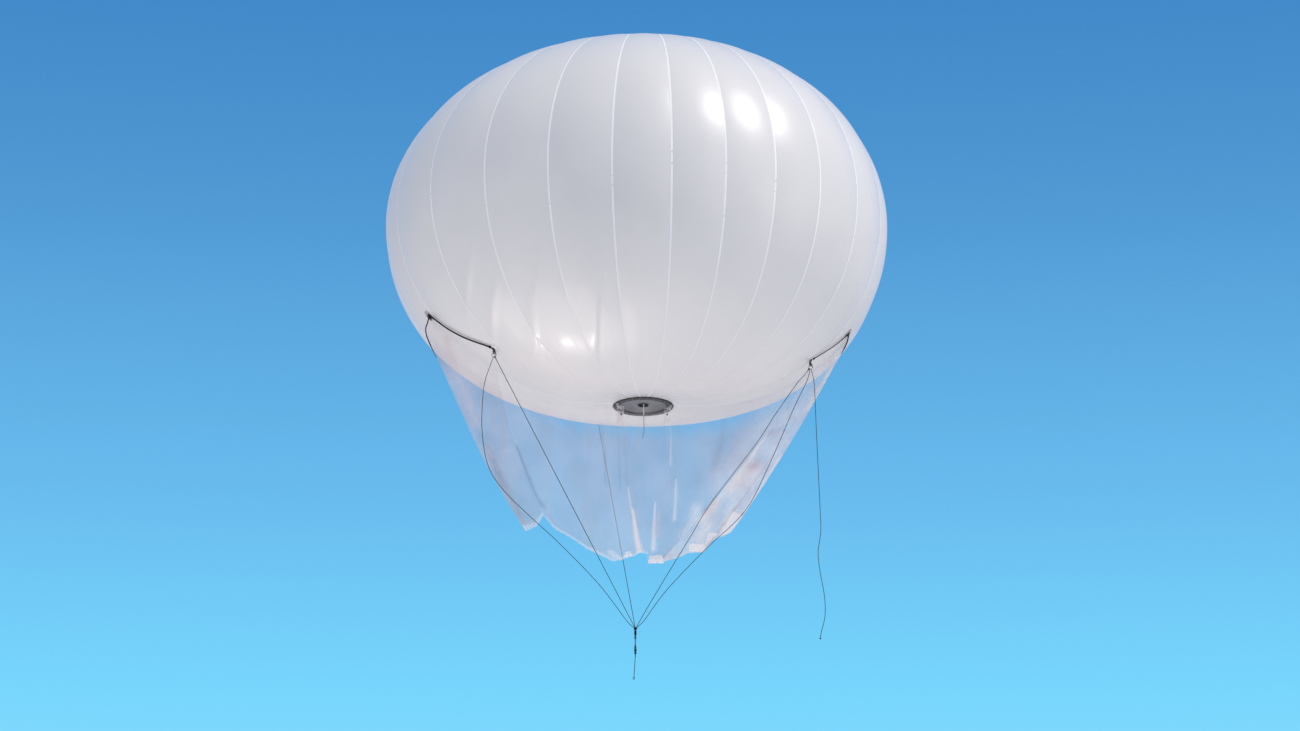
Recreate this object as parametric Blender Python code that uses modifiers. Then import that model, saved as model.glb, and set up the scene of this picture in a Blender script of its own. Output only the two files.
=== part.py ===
"""Tethered gas balloon with a film drag sail, its bridle lines and a swivel tether end.

Metres, +Z up, -Y towards the front. The origin is the middle of the envelope, where its
lift acts. An azimuth is counted from the front, positive towards +X.
"""

import math

import bmesh
import bpy
from mathutils import Vector

# Envelope
RADIUS = 2.5  # at the widest ring
CROWN_HEIGHT = 1.88
BASE_DEPTH = 1.86
UPPER_POWER = 0.92  # how full the upper half is; 1 is an ellipse
LOWER_POWER = 0.76  # how full the lower half is
LEAN = 0.07  # the widest ring stands this far towards -X
DIMPLE_DEPTH = 0.12  # the base is pulled up in the middle
DIMPLE_RADIUS = 0.9
SKIN = 0.010
BULGE = 0.005  # each gore swells this far between its seams
GORES = 24
GORE_START = 4.9
GORE_SWING = 5.9  # the seams at the sides stand closer than those in front
GORE_PHASE = 70.9
GAP = 0.0003  # between pieces that rest on each other

# Angles at which the envelope's rings lie, from the base plate to the crown
RINGS = (
    -86.45, -83, -78, -71.5, -64, -56.4, -47.9, -40.2, -31.4, -23.5, -15.7, -7.8,
    0, 8, 16, 24, 32, 40, 48, 56, 64, 72, 80, 87.87,
)

# Base plate and crown
PLATE_RADIUS = 0.2986
PLATE_HOLE = 0.235
PLATE_MIDDLE = -1.803
PLATE_LOW = -0.011  # from the plate's middle, as the next heights are
PLATE_HIGH = 0.013
PORT_RADIUS = 0.055
PORT_HEIGHT = 0.012
PORT_TOP = 0.105
BASE_TILT = 0.07  # slope of the base plate, its front edge up
TUBE_TOP = -1.7042
CROWN_RADIUS = 0.30
CROWN_THICKNESS = 0.006

# Load patches and rings
PATCH_THICKNESS = 0.004
PATCH_LIFT = 0.0005
LEFT_SEAM = -69.9
RIGHT_RIDGE = 83.48
REAR_RIDGE = 193.68
LEFT_LOAD_AZIMUTH = -71.97
LEFT_LOAD_ANGLE = -34.58
RIGHT_LOAD_AZIMUTH = 80.45
RIGHT_LOAD_ANGLE = -38.1
LEFT_RING_AZIMUTH = -55.0
LEFT_RING_ANGLE = -52.0
RIGHT_RING_AZIMUTH = 73.2
RIGHT_RING_ANGLE = -51.4
RING_DROP = -1.536
LINK_SAG = 1.3  # degrees that a link cord hangs below the straight way
RING_MAJOR = 0.0195
RING_MINOR = 0.003

# Bridle and tether
LINE = 0.003  # radius of a bridle line
LEFT_LINK = 0.0075
RIGHT_LINK = 0.0045
KNOT = Vector((-0.075, 0.0, -4.040))
KNOT_RADIUS = 0.018
TETHER_TURN = math.radians(60.0)  # how far the tether end hangs turned on its swivel
TETHER_LEAN = 0.062  # metres to the left for each metre that the tether runs down

# Drag sail
FILM = 0.004
SAIL_TOP = -1.8448  # under the base plate


def clear_scene():
    for old in list(bpy.data.objects):
        bpy.data.objects.remove(old, do_unlink=True)


def finish(name, colour, roughness, metallic=0.0, obj=None, smooth=None):
    """Names the object, gives it its own material and files it with the parts."""
    obj = obj or bpy.context.object
    obj.name = name
    obj.data.name = name
    made = bpy.data.materials.new(name)
    made.use_nodes = True
    shader = made.node_tree.nodes["Principled BSDF"]
    shader.inputs["Base Color"].default_value = (*colour, 1.0)
    shader.inputs["Roughness"].default_value = roughness
    shader.inputs["Metallic"].default_value = metallic
    made.diffuse_color = (*colour, 1.0)
    obj.data.materials.clear()
    obj.data.materials.append(made)
    if smooth is not None:
        for face in obj.data.polygons:
            face.use_smooth = smooth
    for home in list(obj.users_collection):
        home.objects.unlink(obj)
    PARTS.objects.link(obj)
    return obj


def mesh_object(name, bm):
    """A new object from a bmesh, its faces turned outward."""
    bmesh.ops.recalc_face_normals(bm, faces=bm.faces)
    if bm.calc_volume(signed=True) < 0:
        bmesh.ops.reverse_faces(bm, faces=bm.faces)
    mesh = bpy.data.meshes.new(name)
    bm.to_mesh(mesh)
    bm.free()
    obj = bpy.data.objects.new(name, mesh)
    bpy.context.scene.collection.objects.link(obj)
    return obj


def turned(name, outline, steps, place=(0.0, 0.0, 0.0), closed=False):
    """A round piece: the outline of (radius, height) points, from the top down, turned about Z."""
    mesh = bpy.data.meshes.new(name)
    ends = [(i, i + 1) for i in range(len(outline) - 1)]
    if closed:
        ends.append((len(outline) - 1, 0))
    mesh.from_pydata([(r, 0.0, z) for r, z in outline], ends, [])
    obj = bpy.data.objects.new(name, mesh)
    bpy.context.scene.collection.objects.link(obj)
    obj.location = place
    screw = obj.modifiers.new("turn", "SCREW")
    screw.axis = "Z"
    screw.steps = steps
    screw.render_steps = steps
    screw.use_merge_vertices = True
    screw.merge_threshold = 0.00005
    screw.use_normal_calculate = False
    screw.use_smooth_shade = True
    return obj


def cord(name, points, radius, resolution=2, swells=None):
    """A round cord along the points, closed at both ends. Swells thicken or thin it there."""
    curve = bpy.data.curves.new(name, "CURVE")
    curve.dimensions = "3D"
    curve.bevel_depth = radius
    curve.bevel_resolution = resolution
    curve.use_fill_caps = True
    line = curve.splines.new("POLY")
    line.points.add(len(points) - 1)
    for point, place in zip(line.points, points):
        point.co = (*place, 1.0)
    for point, swell in zip(line.points, swells or ()):
        point.radius = swell
    obj = bpy.data.objects.new(name, curve)
    bpy.context.scene.collection.objects.link(obj)
    return obj


def smooth_run(knots, count):
    """Evenly spaced points on a smooth curve through the knots."""
    knots = [Vector(k) for k in knots]
    before = [2 * knots[0] - knots[1]] + knots + [2 * knots[-1] - knots[-2]]
    fine = []
    for i in range(1, len(before) - 2):
        a, b, c, d = before[i - 1 : i + 3]
        for step in range(24):
            t = step / 24
            fine.append(
                0.5
                * (
                    2 * b
                    + (c - a) * t
                    + (2 * a - 5 * b + 4 * c - d) * t**2
                    + (3 * b - a - 3 * c + d) * t**3
                )
            )
    fine.append(knots[-1])
    far = [0.0]
    for a, b in zip(fine, fine[1:]):
        far.append(far[-1] + (b - a).length)
    run = []
    place = 0
    for i in range(count):
        want = far[-1] * i / (count - 1)
        while place < len(far) - 2 and far[place + 1] < want:
            place += 1
        part = (want - far[place]) / (far[place + 1] - far[place])
        run.append(fine[place].lerp(fine[place + 1], min(1.0, part)))
    return run


# The envelope's surface


def profile(angle):
    """Radius and height of the envelope at an angle above its middle."""
    t = math.radians(angle)
    if angle >= 0:
        return RADIUS * math.cos(t) ** UPPER_POWER, CROWN_HEIGHT * math.sin(t)
    r = RADIUS * math.cos(t) ** LOWER_POWER
    z = BASE_DEPTH * math.sin(t)
    if r < DIMPLE_RADIUS:
        z += DIMPLE_DEPTH * (1 - r / DIMPLE_RADIUS) ** 2
    return r, z


def profile_normal(angle):
    r0, z0 = profile(angle - 0.01)
    r1, z1 = profile(angle + 0.01)
    size = math.hypot(r1 - r0, z1 - z0)
    return (z1 - z0) / size, (r0 - r1) / size


def seam(k):
    """Azimuth of seam number k."""
    base = GORE_START + 360 / GORES * k
    return base + GORE_SWING * math.sin(2 * math.radians(base + GORE_PHASE))


def base_rise(r, a):
    """How far the tilted base plate pulls the underside up at this radius and azimuth."""
    if r > DIMPLE_RADIUS:
        return 0.0
    share = min(1.0, (DIMPLE_RADIUS - r) / (DIMPLE_RADIUS - PLATE_RADIUS))
    return BASE_TILT * r * math.cos(a) * share**2


def skin_corner(azimuth, angle, depth=0.0, bulge=0.0, aside=0.0):
    """A point on the envelope, a depth under its outer face and a way aside along the ring."""
    r, z = profile(angle)
    out, up = profile_normal(angle)
    r += bulge * (r / RADIUS) ** 2 - depth * out
    z -= depth * up
    a = math.radians(azimuth) + aside / r
    if angle < 0:
        z += base_rise(r, a)
    lean = LEAN * math.cos(math.radians(angle)) ** 2
    return Vector((r * math.sin(a) - lean, -r * math.cos(a), z))


def columns():
    """Every line of the envelope from base to crown: (azimuth, bulge), seams and middles in turn."""
    found = []
    for k in range(-GORES, GORES + 1):
        found.append((seam(k), 0.0))
        found.append(((seam(k) + seam(k + 1)) / 2, BULGE))
    return found


def skin_point(azimuth, angle, lift=0.0):
    """A point on the flat facet at this place, lifted straight off it, and the facet's normal."""
    lines = columns()
    i = next(n for n in range(len(lines) - 1) if lines[n + 1][0] > azimuth - 1e-6)
    j = next(n for n in range(len(RINGS) - 1) if RINGS[n + 1] > angle - 1e-6)
    a = (azimuth - lines[i][0]) / (lines[i + 1][0] - lines[i][0])
    b = (angle - RINGS[j]) / (RINGS[j + 1] - RINGS[j])
    low = [skin_corner(lines[n][0], RINGS[j], bulge=lines[n][1]) for n in (i, i + 1)]
    high = [skin_corner(lines[n][0], RINGS[j + 1], bulge=lines[n][1]) for n in (i, i + 1)]
    place = low[0].lerp(low[1], a).lerp(high[0].lerp(high[1], a), b)
    normal = (low[1] - low[0]).cross(high[0] - low[0]).normalized()
    return place + normal * lift, normal


def gore(number):
    """One gore: a strip two facets wide from the base plate to the crown, 10 mm thick."""
    edges = (seam(number), (seam(number) + seam(number + 1)) / 2, seam(number + 1))
    asides = (GAP / 2, 0.0, -GAP / 2)
    swells = (0.0, BULGE, 0.0)
    bm = bmesh.new()
    bmesh.ops.create_grid(bm, x_segments=2, y_segments=len(RINGS) - 1, size=1.0)
    outer = list(bm.verts)
    spots = {}
    for vert in outer:
        col = round(vert.co.x + 1)
        row = round((vert.co.y + 1) / 2 * (len(RINGS) - 1))
        spots[vert] = (col, row)
    thick = bmesh.ops.extrude_face_region(bm, geom=bm.faces[:] + bm.edges[:] + bm.verts[:])
    inner = {v for v in thick["geom"] if isinstance(v, bmesh.types.BMVert)}
    for vert in inner:
        col = round(vert.co.x + 1)
        row = round((vert.co.y + 1) / 2 * (len(RINGS) - 1))
        vert.co = skin_corner(edges[col], RINGS[row], SKIN, swells[col], asides[col])
    for vert, (col, row) in spots.items():
        vert.co = skin_corner(edges[col], RINGS[row], 0.0, swells[col], asides[col])
    return mesh_object("gore", bm)


def build_envelope():
    for number in range(GORES):
        obj = gore(number - 12)
        finish(f"gore_{number + 1:02d}", (0.86, 0.87, 0.88), 0.38, obj=obj, smooth=False)


def build_crown():
    """The round cap that closes the gores' tops."""
    reach = [CROWN_RADIUS * i / 5 for i in range(6)]
    angle = [math.degrees(math.acos((r / RADIUS) ** (1 / UPPER_POWER))) for r in reach]
    under = [(r, profile(a)[1] + 0.0006) for r, a in zip(reach, angle)]
    top = [(r, z + CROWN_THICKNESS) for r, z in under]
    top[-1] = (top[-1][0] - 0.002, top[-1][1] - 0.001)
    obj = turned("crown_disc", top + under[::-1], 48)
    finish("crown_disc", (0.84, 0.85, 0.86), 0.4, obj=obj)


def on_plate(obj):
    """Sets a piece in the tilted base plate; its outline's heights are from the plate's middle."""
    obj.location = (0.0, 0.0, PLATE_MIDDLE)
    obj.rotation_euler = (-BASE_TILT, 0.0, 0.0)
    return obj


def build_base():
    """The ring in the middle of the underside, its dished plate, the port and what hangs there."""
    ring = [
        (PLATE_HOLE, PLATE_HIGH),
        (PLATE_RADIUS - 0.002, PLATE_HIGH),
        (PLATE_RADIUS, PLATE_HIGH - 0.002),
        (PLATE_RADIUS, PLATE_LOW + 0.004),
        (PLATE_RADIUS - 0.004, PLATE_LOW),
        (PLATE_HOLE, PLATE_LOW),
    ]
    obj = on_plate(turned("base_ring", ring, 48, closed=True))
    finish("base_ring", (0.10, 0.10, 0.11), 0.45, obj=obj)

    outer = PLATE_HOLE - GAP
    dish = []
    for i in range(7):
        r = outer + (PORT_RADIUS - outer) * i / 6
        rise = math.sin(math.pi / 2 * i / 6)
        dish.append((r, 0.003 + (PORT_HEIGHT - 0.003) * rise))
    upper = [(r, z + 0.004) for r, z in dish[::-1]]
    obj = on_plate(turned("base_dish", upper + dish, 48, closed=True))
    finish("base_dish", (0.30, 0.29, 0.30), 0.5, obj=obj)

    r = PORT_RADIUS - GAP
    cup = [
        (0.0, PORT_TOP),
        (r - 0.006, PORT_TOP),
        (r, PORT_TOP - 0.006),
        (r, PORT_HEIGHT - 0.006),
        (r - 0.003, PORT_HEIGHT - 0.006),
        (r - 0.003, PORT_TOP - 0.005),
        (0.0, PORT_TOP - 0.005),
    ]
    obj = on_plate(turned("port_cup", cup, 32))
    finish("port_cup", (0.02, 0.02, 0.02), 0.7, obj=obj)

    tube = [
        (0.0, 0.0),
        (0.005, 0.0),
        (0.006, -0.001),
        (0.006, -0.189),
        (0.005, -0.190),
        (0.0, -0.190),
    ]
    obj = turned("fill_tube", tube, 16, (0.005, 0.004, TUBE_TOP))
    finish("fill_tube", (0.90, 0.90, 0.88), 0.35, obj=obj)

    hang = smooth_run(
        [
            (0.005, 0.004, TUBE_TOP - 0.1903),
            (0.005, 0.004, -1.9110),
            (0.007, 0.003, -1.9700),
            (0.009, 0.002, -2.0460),
            (0.000, 0.000, -2.1000),
            (-0.011, -0.002, -2.1380),
        ],
        17,
    )
    obj = cord("valve_cord", hang, LINE)
    finish("valve_cord", (0.42, 0.42, 0.43), 0.8, obj=obj, smooth=None)


def patch(name, azimuth, angle, half_width, half_height, colour):
    """An eight-sided reinforcement that lies on the envelope, bent over the ridge it covers."""
    bm = bmesh.new()
    grid = bmesh.ops.create_grid(bm, x_segments=2, y_segments=3, size=1.0)
    bottom = {v: (round(v.co.x), round((v.co.y + 1) * 1.5)) for v in grid["verts"]}
    thick = bmesh.ops.extrude_face_region(bm, geom=bm.faces[:] + bm.edges[:] + bm.verts[:])
    top = {
        v: (round(v.co.x), round((v.co.y + 1) * 1.5))
        for v in thick["geom"]
        if isinstance(v, bmesh.types.BMVert)
    }
    r = profile(angle)[0]
    per_angle = (Vector(profile(angle + 1)) - Vector(profile(angle))).length
    for verts, lift in ((bottom, PATCH_LIFT), (top, PATCH_LIFT + PATCH_THICKNESS)):
        for vert, (col, row) in verts.items():
            narrow = 0.5 if row in (0, 3) else 1.0
            side = col * narrow * half_width / r
            level = angle + (-1.0, -0.5, 0.5, 1.0)[row] * half_height / per_angle
            vert.co = skin_point(azimuth + math.degrees(side), level, lift)[0]
            if col == 0:
                left = skin_point(azimuth - 0.01, level, lift)[0]
                right = skin_point(azimuth + 0.01, level, lift)[0]
                vert.co = (left + right) / 2
    obj = mesh_object(name, bm)
    return finish(name, colour, 0.6, obj=obj, smooth=False)


def patch_top(azimuth, angle, radius):
    """Where a cord's axis lies when it rests on a patch here, and the way off the surface."""
    return skin_point(azimuth, angle, PATCH_LIFT + PATCH_THICKNESS + GAP + radius)


def build_load_points():
    """Load patches, the thick cords that lead to the ring patches, hangers and rings."""
    grey = (0.55, 0.55, 0.54)
    patch("left_load_patch", LEFT_LOAD_AZIMUTH, LEFT_LOAD_ANGLE, 0.050, 0.050, grey)
    patch("right_load_patch", RIGHT_LOAD_AZIMUTH, RIGHT_LOAD_ANGLE, 0.050, 0.050, grey)
    patch("rear_load_patch", REAR_RIDGE, -37.0, 0.050, 0.050, grey)
    patch("left_ring_patch", LEFT_RING_AZIMUTH, LEFT_RING_ANGLE, 0.045, 0.045, grey)
    patch("right_ring_patch", RIGHT_RING_AZIMUTH, RIGHT_RING_ANGLE, 0.045, 0.045, grey)

    runs = (
        ("left", LEFT_LINK, LEFT_LOAD_AZIMUTH, LEFT_LOAD_ANGLE, LEFT_RING_AZIMUTH, LEFT_RING_ANGLE),
        ("right", RIGHT_LINK, RIGHT_LOAD_AZIMUTH, RIGHT_LOAD_ANGLE, RIGHT_RING_AZIMUTH, RIGHT_RING_ANGLE),
    )
    for side, thick, from_azimuth, from_angle, to_azimuth, to_angle in runs:
        inward = 0.7 if side == "left" else -0.7
        from_azimuth, from_angle = from_azimuth + inward * 1.3, from_angle + (0.2 if side == "left" else -0.6)
        to_azimuth, to_angle = to_azimuth - inward, to_angle + 1.0
        points = []
        for i in range(29):
            part = i / 28
            azimuth = from_azimuth + (to_azimuth - from_azimuth) * part
            sag = LINK_SAG * math.sin(math.pi * part) if side == "left" else 0.0
            angle = from_angle + (to_angle - from_angle) * part - sag
            points.append(patch_top(azimuth, angle, thick)[0])
        obj = cord(f"{side}_link_cord", points, thick)
        finish(f"{side}_link_cord", (0.05, 0.05, 0.06), 0.8, obj=obj)

    for side in ("left", "right"):
        azimuth, angle = ring_direction(side)
        foot, off = patch_top(azimuth, angle, 0.0)
        ring = ring_centre(side)
        top = ring + Vector((0.0, 0.0, RING_MAJOR + RING_MINOR + GAP))
        points = [
            foot,
            foot + off * 0.012,
            Vector((ring.x, ring.y, foot.z - 0.022)),
            top + Vector((0.0, 0.0, 0.012)),
            top,
        ]
        obj = cord(f"{side}_hanger", points, 0.010, swells=(0.45, 0.6, 1.0, 1.0, 0.5))
        finish(f"{side}_hanger", (0.05, 0.05, 0.06), 0.6, obj=obj)
        bpy.ops.mesh.primitive_torus_add(
            location=ring,
            rotation=(math.pi / 2, 0.0, 0.0),
            major_radius=RING_MAJOR,
            minor_radius=RING_MINOR,
            major_segments=24,
            minor_segments=8,
        )
        finish(f"{side}_ring", (0.62, 0.62, 0.64), 0.3, 1.0, smooth=True)


def ring_direction(side):
    """Azimuth and angle of the place on a ring patch that its ring hangs from."""
    if side == "left":
        return LEFT_RING_AZIMUTH - 0.3, LEFT_RING_ANGLE - 0.3
    return RIGHT_RING_AZIMUTH - 0.3, RIGHT_RING_ANGLE - 0.3


def ring_centre(side):
    place, off = skin_point(*ring_direction(side), 0.020)
    return Vector((place.x, place.y, RING_DROP))


def on_ring(side, degrees):
    """A line's first point under a ring, this far from its lowest point towards +X, and its way."""
    way = Vector((math.sin(math.radians(degrees)), 0.0, -math.cos(math.radians(degrees))))
    return ring_centre(side) + way * (RING_MAJOR + RING_MINOR + GAP), way


def on_knot(way):
    way = Vector(way).normalized()
    return KNOT + way * (KNOT_RADIUS + GAP), way


def line_start(side):
    """A bridle line's first points under its ring, in the way of the knot."""
    centre = ring_centre(side)
    way = (KNOT - centre).normalized()
    flat = Vector((way.x, 0.0, way.z)).normalized()
    start = centre + flat * RING_MAJOR + way * (RING_MINOR + GAP)
    return start, start + way * 0.02, start + way * 0.06


def straight_line(name, side, radius, colour):
    """A taut line from a ring straight to the knot."""
    start = line_start(side)[0]
    end = KNOT - (KNOT - start).normalized() * (KNOT_RADIUS + GAP)
    obj = cord(name, [start, end], radius)
    finish(name, colour, 0.8, obj=obj)


def build_bridle():
    """The five lines that gather at the knot, and the spare line that hangs from the right ring."""
    black = (0.04, 0.04, 0.05)
    straight_line("left_taut_line", "left", LINE, black)
    knots = [
        *line_start("right"),
        (1.520, -0.485, -1.675),
        (1.289, -0.432, -2.000),
        (1.109, -0.365, -2.266),
        (0.664, -0.248, -2.840),
        (0.448, -0.177, -3.185),
        (0.116, -0.068, -3.719),
    ]
    end, way = on_knot(Vector(knots[-1]) - KNOT)
    knots.append(end)
    finish("right_inner_line", black, 0.8, obj=cord("right_inner_line", smooth_run(knots, 60), LINE))

    start, off = patch_top(REAR_RIDGE - 0.25, -37.2, LINE + 0.001)
    end, way = on_knot(start - KNOT)
    finish("rear_line", black, 0.8, obj=cord("rear_line", [start, end], LINE))

    start, way = on_ring("left", -14)
    end, back = on_knot((-0.80, -0.35, 0.49))
    knots = [
        start,
        start + way * 0.02,
        (-1.520, -0.965, -1.770),
        (-1.545, -0.940, -1.950),
        (-1.550, -0.900, -2.270),
        (-1.490, -0.820, -2.600),
        (-1.340, -0.720, -2.820),
        (-1.110, -0.600, -3.030),
        (-0.800, -0.430, -3.290),
        (-0.430, -0.210, -3.640),
        (-0.160, -0.050, -3.970),
        end + back * 0.02,
        end,
    ]
    finish("left_slack_line", black, 0.8, obj=cord("left_slack_line", smooth_run(knots, 76), LINE))

    start, way = on_ring("right", -8)
    end, back = on_knot((0.83, -0.20, 0.52))
    knots = [
        start,
        start + way * 0.02,
        (1.600, -0.495, -1.680),
        (1.470, -0.490, -1.950),
        (1.220, -0.450, -2.520),
        (0.990, -0.390, -2.950),
        (0.600, -0.260, -3.310),
        (0.230, -0.120, -3.680),
        (0.010, -0.035, -3.965),
        end + back * 0.02,
        end,
    ]
    finish("right_outer_line", black, 0.8, obj=cord("right_outer_line", smooth_run(knots, 76), LINE))

    start, way = on_ring("right", 20)
    knots = [
        start,
        start + way * 0.02,
        (1.675, -0.505, -1.700),
        (1.682, -0.510, -1.900),
        (1.690, -0.510, -2.200),
        (1.705, -0.510, -2.650),
        (1.715, -0.510, -2.950),
        (1.718, -0.510, -3.180),
        (1.690, -0.510, -3.380),
        (1.705, -0.510, -3.560),
        (1.745, -0.510, -3.810),
        (1.748, -0.510, -4.000),
        (1.712, -0.510, -4.150),
        (1.700, -0.510, -4.200),
        (1.700, -0.510, -4.210),
    ]
    finish("spare_line", black, 0.8, obj=cord("spare_line", smooth_run(knots, 76), LINE))
    bpy.ops.mesh.primitive_uv_sphere_add(
        segments=16, ring_count=10, radius=0.010, location=(1.700, -0.510, -4.2203)
    )
    finish("spare_knot", black, 0.8, smooth=True)


# Drag sail: two upright wings of film that hang from the seam line on the left and the ridge
# line on the right. A place on it is (distance along the wing, negative to the left; height).


def wing_way(reach):
    azimuth = math.radians(LEFT_SEAM if reach < 0 else RIGHT_RIDGE)
    return Vector((math.sin(azimuth), -math.cos(azimuth), 0.0))


def hem_point(reach, height):
    return wing_way(reach) * abs(reach) + Vector((0.0, 0.0, height))


def sail_panel(name, stations, rows, colour):
    """A film panel. A station is (its top, its foot, how far it bows on its way down, the way)."""
    bm = bmesh.new()
    bmesh.ops.create_grid(bm, x_segments=len(stations) - 1, y_segments=rows, size=1.0)
    spots = {}
    for vert in bm.verts:
        col = round((vert.co.x + 1) / 2 * (len(stations) - 1))
        row = round((1 - vert.co.y) / 2 * rows)
        spots[vert] = (col, row, -1)
    thick = bmesh.ops.extrude_face_region(bm, geom=bm.faces[:] + bm.edges[:] + bm.verts[:])
    for vert in thick["geom"]:
        if isinstance(vert, bmesh.types.BMVert):
            col = round((vert.co.x + 1) / 2 * (len(stations) - 1))
            row = round((1 - vert.co.y) / 2 * rows)
            spots[vert] = (col, row, 1)
    for vert, (col, row, face) in spots.items():
        top, foot, bow, way = stations[col]
        aside = Vector((-way.y, way.x, 0.0)) * (face * FILM / 2)
        if way.x < 0:
            aside = -aside
        part = row / rows
        vert.co = top.lerp(foot, part) + way * (bow * 4 * part * (1 - part)) + aside
    obj = mesh_object(name, bm)
    return finish(name, colour, 0.15, obj=obj, smooth=False)


def sewn(side, angle):
    """A point of the sail's top edge, just under the envelope."""
    azimuth = LEFT_SEAM if side < 0 else RIGHT_RIDGE
    left = skin_point(azimuth - 0.01, angle, PATCH_LIFT)[0]
    right = skin_point(azimuth + 0.01, angle, PATCH_LIFT)[0]
    return (left + right) / 2 - Vector((0.0, 0.0, 0.0003))


def build_sail():
    clear = (0.62, 0.70, 0.76)
    crease_left = (sewn(-1, -59.3), hem_point(-1.033, -2.987), 0.060)
    crease_right = (sewn(1, -54.3), hem_point(0.168, -3.384), 0.065)
    left, right = wing_way(-1), wing_way(1)

    def pulled(station, way, by):
        top, foot, bow = station
        return top + way * by, foot + way * by, bow, way

    main = [
        pulled(crease_left, left, -GAP),
        (sewn(-1, -64), hem_point(-0.909, -3.116), 0.050, left),
        (sewn(-1, -71.5), hem_point(-0.775, -3.176), 0.040, left),
        (sewn(-1, -78), hem_point(-0.558, -3.309), 0.025, left),
        (sewn(-1, -83), hem_point(-0.310, -3.391), 0.010, left),
        (hem_point(-0.267, SAIL_TOP), hem_point(-0.093, -3.307), 0.0, left),
        (Vector((0.0, 0.035, -1.850)), Vector((0.0, 0.0, -3.256)), 0.0, Vector((1, 0, 0))),
        (hem_point(0.267, SAIL_TOP), hem_point(0.030, -3.340), 0.0, right),
        (sewn(1, -83), hem_point(0.060, -3.377), 0.010, right),
        (sewn(1, -78), hem_point(0.090, -3.380), 0.025, right),
        (sewn(1, -71.5), hem_point(0.118, -3.382), 0.040, right),
        (sewn(1, -64), hem_point(0.145, -3.383), 0.055, right),
        (sewn(1, -56.4), hem_point(0.162, -3.384), 0.062, right),
        pulled(crease_right, right, -GAP),
    ]
    sail_panel("sail_main", main, 8, clear)

    side = [
        (sewn(-1, -36.4), hem_point(-1.214, -3.157), 0.120, left),
        (sewn(-1, -40.2), hem_point(-1.190, -3.145), 0.110, left),
        (sewn(-1, -44.0), hem_point(-1.165, -3.132), 0.100, left),
        (sewn(-1, -47.9), hem_point(-1.135, -3.115), 0.090, left),
        (sewn(-1, -52.0), hem_point(-1.103, -3.100), 0.080, left),
        (sewn(-1, -56.4), hem_point(-1.062, -3.035), 0.070, left),
        pulled(crease_left, left, GAP),
    ]
    sail_panel("sail_side_left", side, 8, (0.60, 0.66, 0.72))

    side = [
        pulled(crease_right, right, GAP),
        (sewn(1, -52.0), hem_point(0.326, -3.358), 0.065, right),
        (sewn(1, -47.9), hem_point(0.444, -3.281), 0.060, right),
        (sewn(1, -44.0), hem_point(0.596, -3.285), 0.055, right),
        (sewn(1, -42.0), hem_point(0.650, -3.187), 0.050, right),
        (sewn(1, -40.2), hem_point(0.837, -3.112), 0.045, right),
        (sewn(1, -37.8), hem_point(1.001, -2.907), 0.045, right),
    ]
    sail_panel("sail_side_right", side, 8, (0.68, 0.72, 0.78))

    for name, reach in (("clip_left", -0.267), ("clip_right", 0.267)):
        way = wing_way(reach)
        high = PLATE_MIDDLE + PLATE_LOW - BASE_TILT * abs(reach) * way.y - 0.0008
        low = SAIL_TOP + 0.0008
        place = hem_point(reach, (high + low) / 2)
        bpy.ops.mesh.primitive_cube_add(size=1.0, location=place)
        clip = bpy.context.object
        clip.scale = (0.012, 0.008, high - low)
        clip.rotation_euler = (0.0, 0.0, math.atan2(way.y, way.x))
        finish(name, (0.88, 0.88, 0.86), 0.4)


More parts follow.
